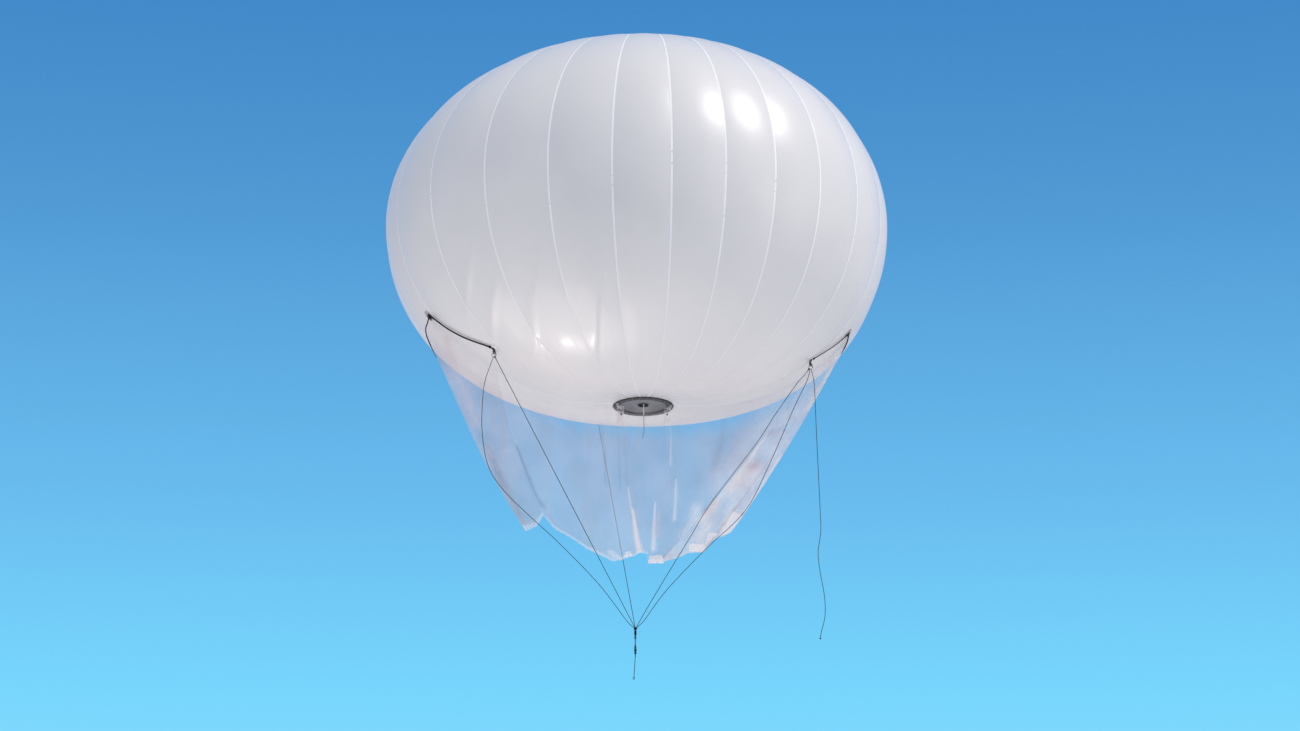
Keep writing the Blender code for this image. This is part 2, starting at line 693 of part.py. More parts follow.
def build_tether_end():
    """The knot, the swivel under it and all that turns with the tether."""
    bpy.ops.mesh.primitive_uv_sphere_add(
        segments=24, ring_count=14, radius=KNOT_RADIUS, location=KNOT
    )
    finish("bridle_knot", (0.05, 0.05, 0.06), 0.8, smooth=True)

    at = (KNOT.x, KNOT.y, KNOT.z - KNOT_RADIUS - GAP)
    barrel = [
        (0.0, 0.0),
        (0.005, 0.0),
        (0.007, -0.003),
        (0.0115, -0.010),
        (0.0115, -0.046),
        (0.010, -0.048),
        (0.0046, -0.048),
        (0.0046, -0.040),
        (0.0085, -0.040),
        (0.0085, -0.018),
        (0.0, -0.018),
    ]
    obj = turned("swivel_body", barrel, 32, at)
    finish("swivel_body", (0.12, 0.12, 0.13), 0.35, 1.0, obj=obj)

    axis = bpy.data.objects.new("swivel_axis", None)
    axis.empty_display_size = 0.02
    axis.location = at
    axis.rotation_euler = (0.0, 0.0, TETHER_TURN)
    PARTS.objects.link(axis)

    pin = [
        (0.0, -0.030),
        (0.007, -0.030),
        (0.007, -0.0397),
        (0.004, -0.0397),
        (0.004, -0.0537),
        (0.0, -0.0537),
    ]
    obj = turned("swivel_pin", pin, 32)
    finish("swivel_pin", (0.60, 0.60, 0.62), 0.3, 1.0, obj=obj)
    obj.parent = axis

    bpy.ops.mesh.primitive_cube_add(size=1.0, location=(0.0, 0.0, -0.0680))
    frame = bpy.context.object
    frame.scale = (0.026, 0.006, 0.028)
    bpy.ops.object.transform_apply(location=False, rotation=False, scale=True)
    bpy.ops.mesh.primitive_cube_add(size=1.0, location=(0.0, 0.0, -0.0700))
    window = bpy.context.object
    window.name = "swivel_eye_window"
    window.scale = (0.015, 0.020, 0.014)
    window.hide_render = True
    window.display_type = "WIRE"
    window.parent = axis
    for home in list(window.users_collection):
        home.objects.unlink(window)
    CUTTERS.objects.link(window)
    cut = frame.modifiers.new("window", "BOOLEAN")
    cut.operation = "DIFFERENCE"
    cut.solver = "EXACT"
    cut.object = window
    finish("swivel_eye", (0.14, 0.14, 0.15), 0.35, 1.0, obj=frame)
    frame.parent = axis

    # A strap loop round the eye's lower bar and the hook's top, wide in X
    curve = bpy.data.curves.new("link_strap", "CURVE")
    curve.dimensions = "2D"
    curve.fill_mode = "BOTH"
    curve.extrude = 0.005
    top, low = -0.0795, -0.1520
    for radius in (0.0062, 0.0042):
        loop = []
        for i in range(9):
            a = math.pi * i / 8
            loop.append((radius * math.cos(a), top + radius * math.sin(a)))
        for i in range(9):
            a = math.pi + math.pi * i / 8
            loop.append((radius * math.cos(a), low + radius * math.sin(a)))
        line = curve.splines.new("POLY")
        line.points.add(len(loop) - 1)
        line.use_cyclic_u = True
        for point, (y, z) in zip(line.points, loop):
            point.co = (y, z, 0.0, 1.0)
    obj = bpy.data.objects.new("link_strap", curve)
    bpy.context.scene.collection.objects.link(obj)
    obj.rotation_euler = (math.pi / 2, 0.0, math.pi / 2)
    finish("link_strap", (0.40, 0.40, 0.58), 0.8, obj=obj)
    obj.parent = axis

    # The hook: a closed oval of rod
    points = []
    top, low, half = -0.1612, -0.2200, 0.011
    for i in range(13):
        a = math.pi * i / 12
        points.append((half * math.cos(a), 0.0, top + half * math.sin(a)))
    for i in range(13):
        a = math.pi + math.pi * i / 12
        points.append((half * math.cos(a), 0.0, low + half * math.sin(a)))
    obj = cord("snap_hook", points, 0.003)
    obj.data.splines[0].use_cyclic_u = True
    finish("snap_hook", (0.10, 0.10, 0.11), 0.3, 1.0, obj=obj)
    obj.parent = axis

    rope = []
    for z in (low - half - 0.003 - GAP, -0.2450, -0.3500, -0.4770):
        aside = TETHER_LEAN * max(0.0, -0.2450 - z)
        rope.append((-aside * math.cos(TETHER_TURN), aside * math.sin(TETHER_TURN), z))
    obj = cord("tether_leader", rope, 0.004)
    finish("tether_leader", (0.07, 0.07, 0.08), 0.8, obj=obj)
    obj.parent = axis


clear_scene()
PARTS = bpy.data.collections.new("tethered_gas_balloon")
bpy.context.scene.collection.children.link(PARTS)
CUTTERS = bpy.data.collections.new("cutters")
bpy.context.scene.collection.children.link(CUTTERS)
CUTTERS.hide_render = True

build_envelope()
build_crown()
build_base()
build_load_points()
build_bridle()
build_sail()
build_tether_end()
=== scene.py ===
"""The looks of the tethered gas balloon: film envelope, base plate, load points, bridle, drag
sail and swivel tether end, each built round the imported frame, in metres, +Z up, -Y in front.
"""

from math import acos, cos, degrees, exp, hypot, pi, radians, sin, tau

import bpy
from mathutils import Matrix, Vector, noise


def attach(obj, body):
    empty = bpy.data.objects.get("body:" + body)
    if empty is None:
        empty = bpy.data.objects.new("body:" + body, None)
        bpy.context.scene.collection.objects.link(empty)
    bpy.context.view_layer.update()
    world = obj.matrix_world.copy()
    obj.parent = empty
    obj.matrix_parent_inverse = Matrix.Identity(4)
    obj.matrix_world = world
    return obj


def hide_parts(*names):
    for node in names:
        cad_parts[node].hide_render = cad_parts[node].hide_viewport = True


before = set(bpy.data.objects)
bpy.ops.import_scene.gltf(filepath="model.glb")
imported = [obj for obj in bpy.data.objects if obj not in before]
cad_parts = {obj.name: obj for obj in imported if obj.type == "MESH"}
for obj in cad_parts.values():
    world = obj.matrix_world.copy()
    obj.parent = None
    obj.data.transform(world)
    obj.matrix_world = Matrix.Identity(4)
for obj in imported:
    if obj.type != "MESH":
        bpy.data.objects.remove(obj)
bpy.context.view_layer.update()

# Camera, floor and light
# The camera stands on the floor far in front of the balloon and looks up at it. The floor is
# plain and pale. A big soft lamp, a core in a wider halo, stands high on the right, and weaker
# ones fill in from the sides, the front and below.

CAMERA_PLACE = (0.0, -29.885, -9.137)
CAMERA_RISE, CAMERA_SWING = 14.54, -0.13
CAMERA_LENS, SENSOR_WIDTH = 85.7, 36.0
FLOOR_HEIGHT, FLOOR_RADIUS = -9.2, 180.0
ROOM_STRENGTH = 0.78
WARM, MILD = (1.0, 0.94, 0.88), (1.0, 0.94, 0.92)


def pick(*pieces):
    """Selects these pieces alone, because an operator acts on all that is selected."""
    if bpy.context.object and bpy.context.object.mode != "OBJECT":
        bpy.ops.object.mode_set(mode="OBJECT")
    bpy.ops.object.select_all(action="DESELECT")
    for piece in pieces:
        piece.select_set(True)
    if pieces:
        bpy.context.view_layer.objects.active = pieces[0]


pick()
bpy.ops.object.camera_add(
    location=CAMERA_PLACE,
    rotation=(radians(90 + CAMERA_RISE), 0.0, radians(CAMERA_SWING)),
)
camera = bpy.context.object
camera.data.sensor_width = SENSOR_WIDTH
camera.data.lens = CAMERA_LENS
camera.data.clip_end = 600.0
bpy.context.scene.camera = camera
bpy.context.scene.view_settings.view_transform = "Standard"


def feed(tree, made, inputs):
    """Joins a node's inputs to other nodes' outputs, or sets them to plain values."""
    for name, value in inputs.items():
        if isinstance(value, bpy.types.NodeSocket):
            tree.links.new(value, made.inputs[name])
        else:
            made.inputs[name].default_value = value


def add(tree, kind, inputs=None):
    """A new node of this kind, with its inputs."""
    made = tree.nodes.new("ShaderNode" + kind)
    feed(tree, made, inputs or {})
    return made


def ramp(tree, place, stops):
    """The colour at a place on a ramp with these (place, colour) stops."""
    made = add(tree, "ValToRGB", {"Fac": place})
    bar = made.color_ramp
    while len(bar.elements) < len(stops):
        bar.elements.new(0.5)
    for stop, (place, colour) in zip(bar.elements, stops):
        stop.position = place
        stop.color = (*colour, 1.0)
    return made.outputs["Color"]


def new_finish(name):
    """A new finish, its nodes and its shader."""
    made = bpy.data.materials.new(name)
    made.use_nodes = True
    return made, made.node_tree, made.node_tree.nodes["Principled BSDF"]


pick()
bpy.ops.mesh.primitive_circle_add(
    vertices=96, radius=FLOOR_RADIUS, fill_type="NGON", location=(0.0, 0.0, FLOOR_HEIGHT)
)
floor = bpy.context.object
floor.name = "floor"
floor_paint, tree, shader = new_finish("pale_floor")
feed(tree, shader, {"Base Color": (0.8, 0.8, 0.79, 1.0), "Roughness": 0.9})
floor.data.materials.append(floor_paint)

# The backdrop that the camera sees is a plain blue that pales downward; the light that falls on
# the balloon is softer and whiter, and bluer from behind.
room = bpy.data.worlds.new("room")
bpy.context.scene.world = room
room.use_nodes = True
tree = room.node_tree
tree.nodes.clear()
parts = add(tree, "SeparateXYZ", {0: add(tree, "TexCoord").outputs["Generated"]})
height = add(tree, "MapRange", {"From Min": -1.0, "Value": parts.outputs["Z"]}).outputs[0]
backdrop = ramp(tree, height, [
    (0.485, (0.7, 0.86, 0.96)), (0.5, (0.42, 0.8, 1.0)), (0.573, (0.188, 0.671, 0.982)),
    (0.605, (0.141, 0.497, 0.856)), (0.65, (0.081, 0.318, 0.651)), (0.682, (0.052, 0.246, 0.578)),
    (0.85, (0.03, 0.17, 0.45)),
])
daylight = ramp(tree, height, [
    (0.0, (1.0, 0.93, 0.85)), (0.3, (0.8, 0.75, 0.69)), (0.48, (0.87, 0.83, 0.78)),
    (0.56, (0.76, 0.82, 0.94)), (0.7, (0.64, 0.72, 0.9)), (1.0, (0.82, 0.86, 0.96)),
])
behind = add(tree, "MapRange", {"From Min": 0.05, "From Max": 0.85, "To Max": 0.42})
behind.interpolation_type = "SMOOTHSTEP"
feed(tree, behind, {"Value": parts.outputs["Y"]})
blend = {"Fac": behind.outputs[0], "Color1": daylight, "Color2": (0.34, 0.55, 0.98, 1.0)}
blend = add(tree, "MixRGB", blend).outputs["Color"]
seen = add(tree, "Background", {"Color": backdrop}).outputs[0]
felt = add(tree, "Background", {"Color": blend, "Strength": ROOM_STRENGTH}).outputs[0]
ray = add(tree, "LightPath").outputs["Is Camera Ray"]
either = add(tree, "MixShader", {0: ray, 1: felt, 2: seen}).outputs[0]
add(tree, "OutputWorld", {"Surface": either})


def lamp(name, azimuth, rise, distance, size, watts, colour, target=(0.0, 0.0, 0.0)):
    """A round soft lamp that faces the target from this azimuth and height above the horizon."""
    a, e = radians(azimuth), radians(rise)
    way = Vector((sin(a) * cos(e), -cos(a) * cos(e), sin(e)))
    pick()
    bpy.ops.object.light_add(type="AREA", location=Vector(target) + way * distance)
    made = bpy.context.object
    made.name = name
    made.data.shape = "DISK"
    made.data.size = size
    made.data.energy = watts
    made.data.color = colour
    made.rotation_euler = way.to_track_quat("Z", "Y").to_euler()
    made.visible_camera = False
    return made


lamp("key_lamp", 60.0, 48.5, 24.0, 6.5, 1400.0, WARM)
lamp("key_halo", 60.0, 48.0, 23.9, 13.5, 760.0, WARM)
lamp("low_lamp", -82.0, -66.0, 8.4, 7.0, 150.0, (1.0, 0.85, 0.76))
for name, azimuth, rise, distance, size, watts in (
    ("side_lamp", 70.0, -4.0, 16.0, 8.0, 400.0),
    ("front_lamp", -22.0, 18.0, 22.0, 8.0, 430.0),
    ("floor_lamp", -60.0, -82.0, 8.4, 3.0, 42.0),
):
    lamp(name, azimuth, rise, distance, size, watts, MILD).visible_glossy = False
lamp("glint_lamp", -141.0, -61.0, 8.4, 0.15, 22.0, (1.0, 0.92, 0.85), (-0.42, -1.7, -1.2))

# Slack lines
# Braided polyester cord, 6 mm thick. The two slack bridle lines and the long spare line hang
# from the rings under their own weight; a thinner grey cord hangs out of the fill tube.

LINE_THICKNESS = 0.006
KNOT_PLACE = Vector((-0.075, 0.0, -4.04))
LEFT_RING = Vector((-1.4423, -0.9803, -1.536))
RIGHT_RING = Vector((1.6379, -0.5125, -1.536))
RING_OUTSIDE = 0.0225

STRAND_RELIEF = 0.0004


def reckon(tree, operation, *terms, clamp=False):
    """The result of this operation on the terms."""
    made = add(tree, "Math", dict(enumerate(terms)))
    made.operation = operation
    made.use_clamp = clamp
    return made.outputs[0]


def braid(name, dark, light, strands, pitch, along=1.0, sheen=0.15, shine=0.5):
    """Braided cord: two sets of strands cross round it, each pitch metres long."""
    made, tree, shader = new_finish(name)
    place = add(tree, "TexCoord")
    split = add(tree, "SeparateXYZ", {0: place.outputs["UV"]})
    waves = []
    for way in (1.0, -1.0):
        turns = reckon(tree, "MULTIPLY", split.outputs["X"], tau * strands * way)
        steps = reckon(tree, "MULTIPLY_ADD", split.outputs["Y"], tau * along / pitch, turns)
        waves.append(reckon(tree, "SINE", steps))
    cross = reckon(tree, "MAXIMUM", *waves)
    even = add(tree, "MapRange", {"From Min": -1.0, "Value": cross}).outputs[0]
    fuzz = {"Scale": 260.0, "Detail": 4.0, "Vector": place.outputs["Object"]}
    fuzz = add(tree, "TexNoise", fuzz).outputs["Fac"]
    # The colour is painted darker where the strands dip: painted shade in the grooves between the
    # strands, on top of the bump.
    strand_height_and_groove_shade = reckon(tree, "MULTIPLY", even, fuzz)
    rough = add(tree, "MapRange", {"To Min": 0.65, "To Max": 0.9, "Value": fuzz})
    bump = add(tree, "Bump", {"Strength": 0.8, "Distance": STRAND_RELIEF, "Height": strand_height_and_groove_shade})
    feed(tree, shader, {
        "Base Color": ramp(tree, strand_height_and_groove_shade, [(0.15, dark), (0.75, light)]),
        "Roughness": rough.outputs[0],
        "Normal": bump.outputs[0],
        "Sheen Weight": sheen,
        "Specular IOR Level": shine,
    })
    return made


def smooth_run(knots, count):
    """Evenly spaced points on the smooth curve that the frame's cords take through the knots."""
    knots = [Vector(k) for k in knots]
    before = [2 * knots[0] - knots[1]] + knots + [2 * knots[-1] - knots[-2]]
    fine = []
    for i in range(1, len(before) - 2):
        a, b, c, d = before[i - 1 : i + 3]
        for step in range(24):
            t = step / 24
            third = (3 * b - a - 3 * c + d) * t**3
            fine.append(0.5 * (2 * b + (c - a) * t + (2 * a - 5 * b + 4 * c - d) * t**2 + third))
    fine.append(knots[-1])
    far = [0.0]
    for a, b in zip(fine, fine[1:]):
        far.append(far[-1] + (b - a).length)
    run, place = [], 0
    for i in range(count):
        want = far[-1] * i / (count - 1)
        while place < len(far) - 2 and far[place + 1] < want:
            place += 1
        part = (want - far[place]) / (far[place + 1] - far[place])
        run.append(fine[place].lerp(fine[place + 1], min(1.0, part)))
    return run


def bent_curve(name, points, radius, finish, cyclic=False):
    """A round rod or cord on one smooth curve through the points."""
    curve = bpy.data.curves.new(name, "CURVE")
    curve.dimensions = "3D"
    curve.bevel_depth = radius
    curve.bevel_resolution = 4
    curve.resolution_u = 5
    curve.use_fill_caps = True
    line = curve.splines.new("BEZIER")
    line.bezier_points.add(len(points) - 1)
    line.use_cyclic_u = cyclic
    points = [Vector(p) for p in points]
    last = len(points) - 1
    for i, (knot, place) in enumerate(zip(line.bezier_points, points)):
        knot.co = place
        knot.handle_left_type = knot.handle_right_type = "FREE"
        if cyclic:
            pull = (points[(i + 1) % (last + 1)] - points[i - 1]) / 6
        elif i == 0:
            pull = (points[1] - place) / 3
        elif i == last:
            pull = (place - points[i - 1]) / 3
        else:
            pull = (points[i + 1] - points[i - 1]) / 6
        knot.handle_left = place - pull
        knot.handle_right = place + pull
    curve.materials.append(finish)
    made = bpy.data.objects.new(name, curve)
    bpy.context.scene.collection.objects.link(made)
    return made


black_braid = braid(
    "black_braided_cord", (0.006, 0.006, 0.008), (0.04, 0.041, 0.046), 4, 0.007, 3.2, 0.05, 0.3
)
dark_braid = braid(
    "tarred_thick_cord", (0.003, 0.003, 0.004), (0.018, 0.018, 0.02), 5, 0.012, 3.2, 0.0, 0.15
)
grey_braid = braid("grey_braided_cord", (0.2, 0.2, 0.21), (0.46, 0.46, 0.47), 4, 0.006, 0.25)


def on_knot(way):
    """The end of a line that comes from this way into the gathering knot."""
    way = Vector(way).normalized()
    return KNOT_PLACE + way * 0.012, way


def slack_route(ring, turn, knots, count, last=None):
    """A cord's route: down from its ring, through the knots, and into the gathering knot."""
    way = Vector((sin(radians(turn)), 0.0, -cos(radians(turn))))
    start = ring + way * (RING_OUTSIDE + 0.0003)
    knots = [start, start + way * 0.02, *knots]
    if last:
        end, back = on_knot(last)
        knots += [end + back * 0.02, end]
    return smooth_run(knots, count)


def hang(name, node, route, finish):
    """A free cord on its route, filed with the envelope in place of the frame's line, which is
    hidden.
    """
    made = bent_curve(name, route, LINE_THICKNESS / 2, finish)
    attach(made, "envelope")
    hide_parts(node)


left_slack_route = slack_route(LEFT_RING, -14, [
    (-1.52, -0.965, -1.77), (-1.545, -0.94, -1.95), (-1.55, -0.9, -2.27), (-1.49, -0.82, -2.6),
    (-1.34, -0.72, -2.82), (-1.11, -0.6, -3.03), (-0.8, -0.43, -3.29), (-0.43, -0.21, -3.64),
    (-0.16, -0.05, -3.97),
], 40, (-0.8, -0.35, 0.49))
hang("left_slack_cord", "left_slack_line", left_slack_route, black_braid)

right_outer_route = slack_route(RIGHT_RING, -8, [
    (1.6, -0.495, -1.68), (1.47, -0.49, -1.95), (1.22, -0.45, -2.52), (0.99, -0.39, -2.95),
    (0.6, -0.26, -3.31), (0.23, -0.12, -3.68), (0.01, -0.035, -3.965),
], 36, (0.83, -0.2, 0.52))
hang("right_outer_cord", "right_outer_line", right_outer_route, black_braid)

spare_route = slack_route(RIGHT_RING, 20, [
    (1.675, -0.505, -1.7), (1.682, -0.51, -1.9), (1.69, -0.51, -2.2), (1.705, -0.51, -2.65),
    (1.715, -0.51, -2.95), (1.718, -0.51, -3.18), (1.69, -0.51, -3.38), (1.705, -0.51, -3.56),
    (1.745, -0.51, -3.81), (1.748, -0.51, -4.0), (1.712, -0.51, -4.15), (1.7, -0.51, -4.2),
    (1.7, -0.51, -4.21),
], 40)


def mesh_of(made):
    """Turns a curve into the mesh that it shows."""
    pick(made)
    bpy.ops.object.convert(target="MESH")
    return bpy.context.object


def tied_knot(name, place, size, rope, finish):
    """A tight overhand knot: rope wound round itself, size metres from middle to outside."""
    ring = size - rope
    turns = []
    for i in range(30):
        t = tau * i / 30
        wide = ring * (0.62 + 0.38 * cos(3 * t))
        step = (wide * cos(2 * t), wide * sin(2 * t), ring * 0.62 * sin(3 * t))
        turns.append(Vector(place) + Vector(step))
    return mesh_of(bent_curve(name, turns, rope, finish, cyclic=True))


spare_end = tied_knot("spare_cord_knot", (1.7, -0.51, -4.2203), 0.01, 0.0034, black_braid)
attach(spare_end, "envelope")
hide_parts("spare_knot")
hang("spare_cord", "spare_line", spare_route, black_braid)

TUBE_TOP = -1.7042
valve_route = smooth_run([
    (0.005, 0.004, TUBE_TOP - 0.1903), (0.005, 0.004, -1.911), (0.007, 0.003, -1.97),
    (0.009, 0.002, -2.046), (0.0, 0.0, -2.1), (-0.011, -0.002, -2.138),
], 16)
hang("valve_pull_cord", "valve_cord", valve_route, grey_braid)

# Envelope gores
# White laminated film, cut into 24 gores and welded edge to edge; gas swells each one a little
# between its seams. Small puckers run along the welds, and the film is dented and creased.

RADIUS = 2.5
CROWN_HEIGHT, UPPER_POWER = 1.88, 0.92
BASE_DEPTH, LOWER_POWER = 1.86, 0.76
LEAN = 0.07
DIMPLE_DEPTH, DIMPLE_RADIUS = 0.12, 0.9
BASE_TILT = 0.07
PLATE_RADIUS = 0.2986
BULGE, UPPER_SWELL, LOWER_SWELL = 0.024, 0.8, 1.3
GORES = 24
LOW_END, HIGH_END = -86.45, 87.87
GORE_ROWS = 150
GORE_COLUMNS = (0, 0.02, 0.05, 0.1, 0.2, 0.35, 0.5, 0.65, 0.8, 0.9, 0.95, 0.98, 1)
FINE_COLUMNS = tuple(i / 44 for i in range(45))
SHEET_THICKNESS = 0.0012
# Upright folds in the lower left film, as (azimuth, angle) places, each steep on its right.
FILM_FOLDS = (
    ((-39.5, -20.0), (-42.8, -26.8), (-47.3, -33.5), (-54.7, -41.6)),
    ((-36.2, -31.5), (-40.4, -38.5), (-46.4, -45.7), (-53.0, -51.6)),
    ((-22.2, -24.3), (-25.3, -34.8), (-29.6, -43.7), (-37.0, -55.2), (-46.0, -64.0)),
    ((-8.6, -27.0), (-9.4, -33.4), (-11.2, -42.5), (-15.0, -55.9), (-20.7, -67.7)),
)
FOLD_HEIGHT, FOLD_LEFT, FOLD_RIGHT = 0.0135, 0.11, 0.022
BROAD_DENT, UPRIGHT_DENT, FINE_DENT, CREASE_HEIGHT = 0.003, 0.0042, 0.0012, 0.0011
PUCKER_HEIGHT, PUCKER_REACH, PUCKER_STEP = 0.0011, 0.045, 0.085
FIRST_SEAM, SEAM_CROWDING, CROWDED_WAY = 4.9, 5.9, 70.9


def seam(k):
    """Azimuth of seam number k. The seams at the sides stand closer than those in front."""
    base = FIRST_SEAM + 360 / GORES * k
    return base + SEAM_CROWDING * sin(2 * radians(base + CROWDED_WAY))


def outline(angle):
    """Radius and height of the envelope at an angle above its middle."""
    t = radians(angle)
    if angle >= 0:
        return RADIUS * cos(t) ** UPPER_POWER, CROWN_HEIGHT * sin(t)
    r = RADIUS * cos(t) ** LOWER_POWER
    z = BASE_DEPTH * sin(t)
    if r < DIMPLE_RADIUS:
        z += DIMPLE_DEPTH * (1 - r / DIMPLE_RADIUS) ** 2
    return r, z


def outward(angle):
    r0, z0 = outline(angle - 0.01)
    r1, z1 = outline(angle + 0.01)
    size = hypot(r1 - r0, z1 - z0)
    return (z1 - z0) / size, (r0 - r1) / size


def waver(x, y, z):
    """Smooth noise at this place."""
    return noise.noise(Vector((x, y, z)))


def film_dents(azimuth, angle, r):
    """How far the film stands off its smooth shape: broad dents and upright tension folds."""
    a = radians(azimuth)
    around = Vector((sin(a) * r, -cos(a) * r, radians(angle) * 2.2))
    dents = BROAD_DENT * noise.noise(around * 0.9 + Vector((3.1, 0.0, 0.0)))
    low = max(0.0, min(1.0, (8.0 - angle) / 30.0)) * min(1.0, max(0.0, (angle + 86.0) / 22.0))
    upright = waver(azimuth * 0.16, angle * 0.012, 7.3)
    fine = waver(azimuth * 0.42, angle * 0.02, 1.9)
    near_base = exp(-max(0.0, r - 0.3) / 0.3) if angle < 0 else 0.0
    near_crown = exp(-max(0.0, r - 0.3) / 0.25) if angle > 0 else 0.0
    radial = sin(a * 48) + 0.6 * waver(azimuth * 0.5, 0.0, 2.2)
    for fold in FILM_FOLDS:
        first, last = fold[0][1], fold[-1][1]
        if last < angle < first:
            ends = sin(pi * (first - angle) / (first - last)) ** 0.6
            for (a0, e0), (a1, e1) in zip(fold, fold[1:]):
                if e1 <= angle <= e0:
                    part = (e0 - angle) / (e0 - e1)
                    off = radians(azimuth - a0 - (a1 - a0) * part) * r
                    reach = FOLD_LEFT if off < 0 else FOLD_RIGHT
                    dents += FOLD_HEIGHT * ends * exp(-((off / reach) ** 2))
                    break
    dents += low * (UPRIGHT_DENT * upright + FINE_DENT * fine)
    return dents + CREASE_HEIGHT * radial * (near_base + near_crown)


def gore_place(k, u, angle, lift=0.0):
    """A point on gore k, u of the way from its left seam to its right one, lifted off the film."""
    left, right = seam(k), seam(k + 1)
    azimuth = left + (right - left) * u
    r, z = outline(angle)
    out, up = outward(angle)
    width = r * radians(right - left)
    edge = min(u, 1 - u) * width
    along = radians(angle) * 2.25
    beat = waver(along * 3.0, (k if u < 0.5 else k + 1) % GORES * 5.3, 0.0)
    pucker = PUCKER_HEIGHT * exp(-edge / PUCKER_REACH)
    pucker *= sin(tau * along / PUCKER_STEP + 5.0 * beat)
    full = min(1.0, r / 0.8)
    lift += film_dents(azimuth, angle, r) + pucker * full
    swell = UPPER_SWELL if angle > 0 else LOWER_SWELL
    r += BULGE * 4 * u * (1 - u) * (r / RADIUS) ** swell + lift * out
    z += lift * up
    a = radians(azimuth)
    if angle < 0 and r < DIMPLE_RADIUS:
        share = min(1.0, (DIMPLE_RADIUS - r) / (DIMPLE_RADIUS - PLATE_RADIUS))
        z += BASE_TILT * r * cos(a) * share**2
    lean = LEAN * cos(radians(angle)) ** 2
    return Vector((r * sin(a) - lean, -r * cos(a), z))


def noisy(tree, place, scale, detail, low, high, stretch=None):
    """Noise over the piece, spread to run from low to high."""
    if stretch:
        place = add(tree, "Mapping", {"Scale": stretch, "Vector": place}).outputs[0]
    spots = add(tree, "TexNoise", {"Scale": scale, "Detail": detail, "Vector": place})
    spread = {"From Min": 0.3, "From Max": 0.7, "To Min": low, "To Max": high}
    return add(tree, "MapRange", {**spread, "Value": spots.outputs["Fac"]}).outputs[0]


def gentle(name, dark, light, rough, scale, relief, fine, metallic=0.0, coat=0.0, coat_rough=0.1):
    """A finish whose colour and roughness drift gently over the piece, with a fine relief."""
    made, tree, shader = new_finish(name)
    place = add(tree, "TexCoord").outputs["Object"]
    grain = noisy(tree, place, fine, 5.0, 0.0, 1.0)
    bump = add(tree, "Bump", {"Strength": 0.6, "Distance": relief, "Height": grain})
    drift = noisy(tree, place, scale, 5.0, 0.0, 1.0)
    feed(tree, shader, {
        "Base Color": ramp(tree, drift, [(0.0, dark), (1.0, light)]),
        "Roughness": noisy(tree, place, scale * 2.3, 4.0, *rough),
        "Normal": bump.outputs[0],
        "Metallic": metallic,
        "Coat Weight": coat,
        "Coat Roughness": coat_rough,
    })
    return made


def settle(made, name, finish, nodes=(), smooth=60.0, body="envelope"):
    """Names a finished piece, puts its place into its mesh and files it with its body."""
    pick(made)
    bpy.ops.object.transform_apply()
    made.name = made.data.name = name
    made.data.materials.clear()
    made.data.materials.append(finish)
    bpy.ops.object.shade_smooth_by_angle(angle=radians(smooth))
    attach(made, body)
    if nodes:
        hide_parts(*nodes)
    return made


def sheet_grid(columns, rows, place):
    """A grid whose points are set by place(column, row)."""
    pick()
    bpy.ops.mesh.primitive_grid_add(x_subdivisions=columns, y_subdivisions=rows, size=2.0)
    made = bpy.context.object
    for vert in made.data.vertices:
        column, row = (vert.co.x + 1) / 2 * columns, (vert.co.y + 1) / 2 * rows
        vert.co = place(round(column), round(row))
    return made


def give_wall(made, thickness, offset=-1.0):
    """Turns a sheet into a closed wall of this thickness."""
    pick(made)
    bpy.ops.object.modifier_add(type="SOLIDIFY")
    wall = made.modifiers[-1]
    wall.thickness = thickness
    wall.offset = offset
    wall.use_even_offset = False
    bpy.ops.object.modifier_apply(modifier=wall.name)


white_film = gentle(
    "white_laminated_film", (0.7, 0.69, 0.683), (0.792, 0.774, 0.755), (0.3, 0.42), 0.55,
    0.0015, 9.0, coat=0.9, coat_rough=0.21,
)

for number in range(GORES):
    k = number - 12
    columns = FINE_COLUMNS if seam(k + 1) > -60.0 and seam(k) < 0.0 else GORE_COLUMNS

    def on_gore(column, row, k=k, columns=columns):
        return gore_place(k, columns[column], LOW_END + (HIGH_END - LOW_END) * row / GORE_ROWS)

    gore = sheet_grid(len(columns) - 1, GORE_ROWS, on_gore)
    give_wall(gore, SHEET_THICKNESS)
    name = f"gore_{number + 1:02d}"
    settle(gore, f"film_{name}", white_film, [name], 50.0)

# Seam tapes
# A strip of white film 18 mm wide is welded over each seam from the base plate to the crown. It
# narrows towards the base plate. Its colour is painted light by height: bright white high up,
# where the seams catch the light, fading to the gores' dull grey towards the base.

TAPE_LOW, TAPE_HIGH = LOW_END + 0.1, 84.0
TAPE_ACROSS = (-0.009, -0.0085, -0.004, 0.0, 0.004, 0.0085, 0.009)
TAPE_LIFT = (0.0003, 0.0009, 0.0011, 0.0013, 0.0011, 0.0009, 0.0003)

tape_film = gentle(
    "white_seam_tape", (0.9, 0.9, 0.9), (0.96, 0.96, 0.96), (0.4, 0.55), 3.0, 0.0004, 90.0,
    coat=0.3, coat_rough=0.21,
)
# Painted light: the tape's colour is mixed by height, from the gores' dull grey at the base to
# bright white high up.
tree = tape_film.node_tree
rise = add(tree, "SeparateXYZ", {0: tree.nodes["Texture Coordinate"].outputs["Object"]})
rise = {"From Min": -1.75, "From Max": -0.35, "Value": rise.outputs["Z"]}
blend = {"Fac": add(tree, "MapRange", rise).outputs[0], "Color1": (0.745, 0.74, 0.745, 1.0)}
blend["Color2"] = tree.nodes["Color Ramp"].outputs["Color"]
blend = add(tree, "MixRGB", blend).outputs["Color"]
feed(tree, tree.nodes["Principled BSDF"], {"Base Color": blend})


def by_seam(k, across, angle, lift):
    """A point this far to the right of seam k, on the gore that it falls on."""
    gore, edge = (k, 0) if across >= 0 else (k - 1, 1)
    width = outline(angle)[0] * radians(seam(gore + 1) - seam(gore))
    return gore_place(gore, edge + across / width, angle, lift)


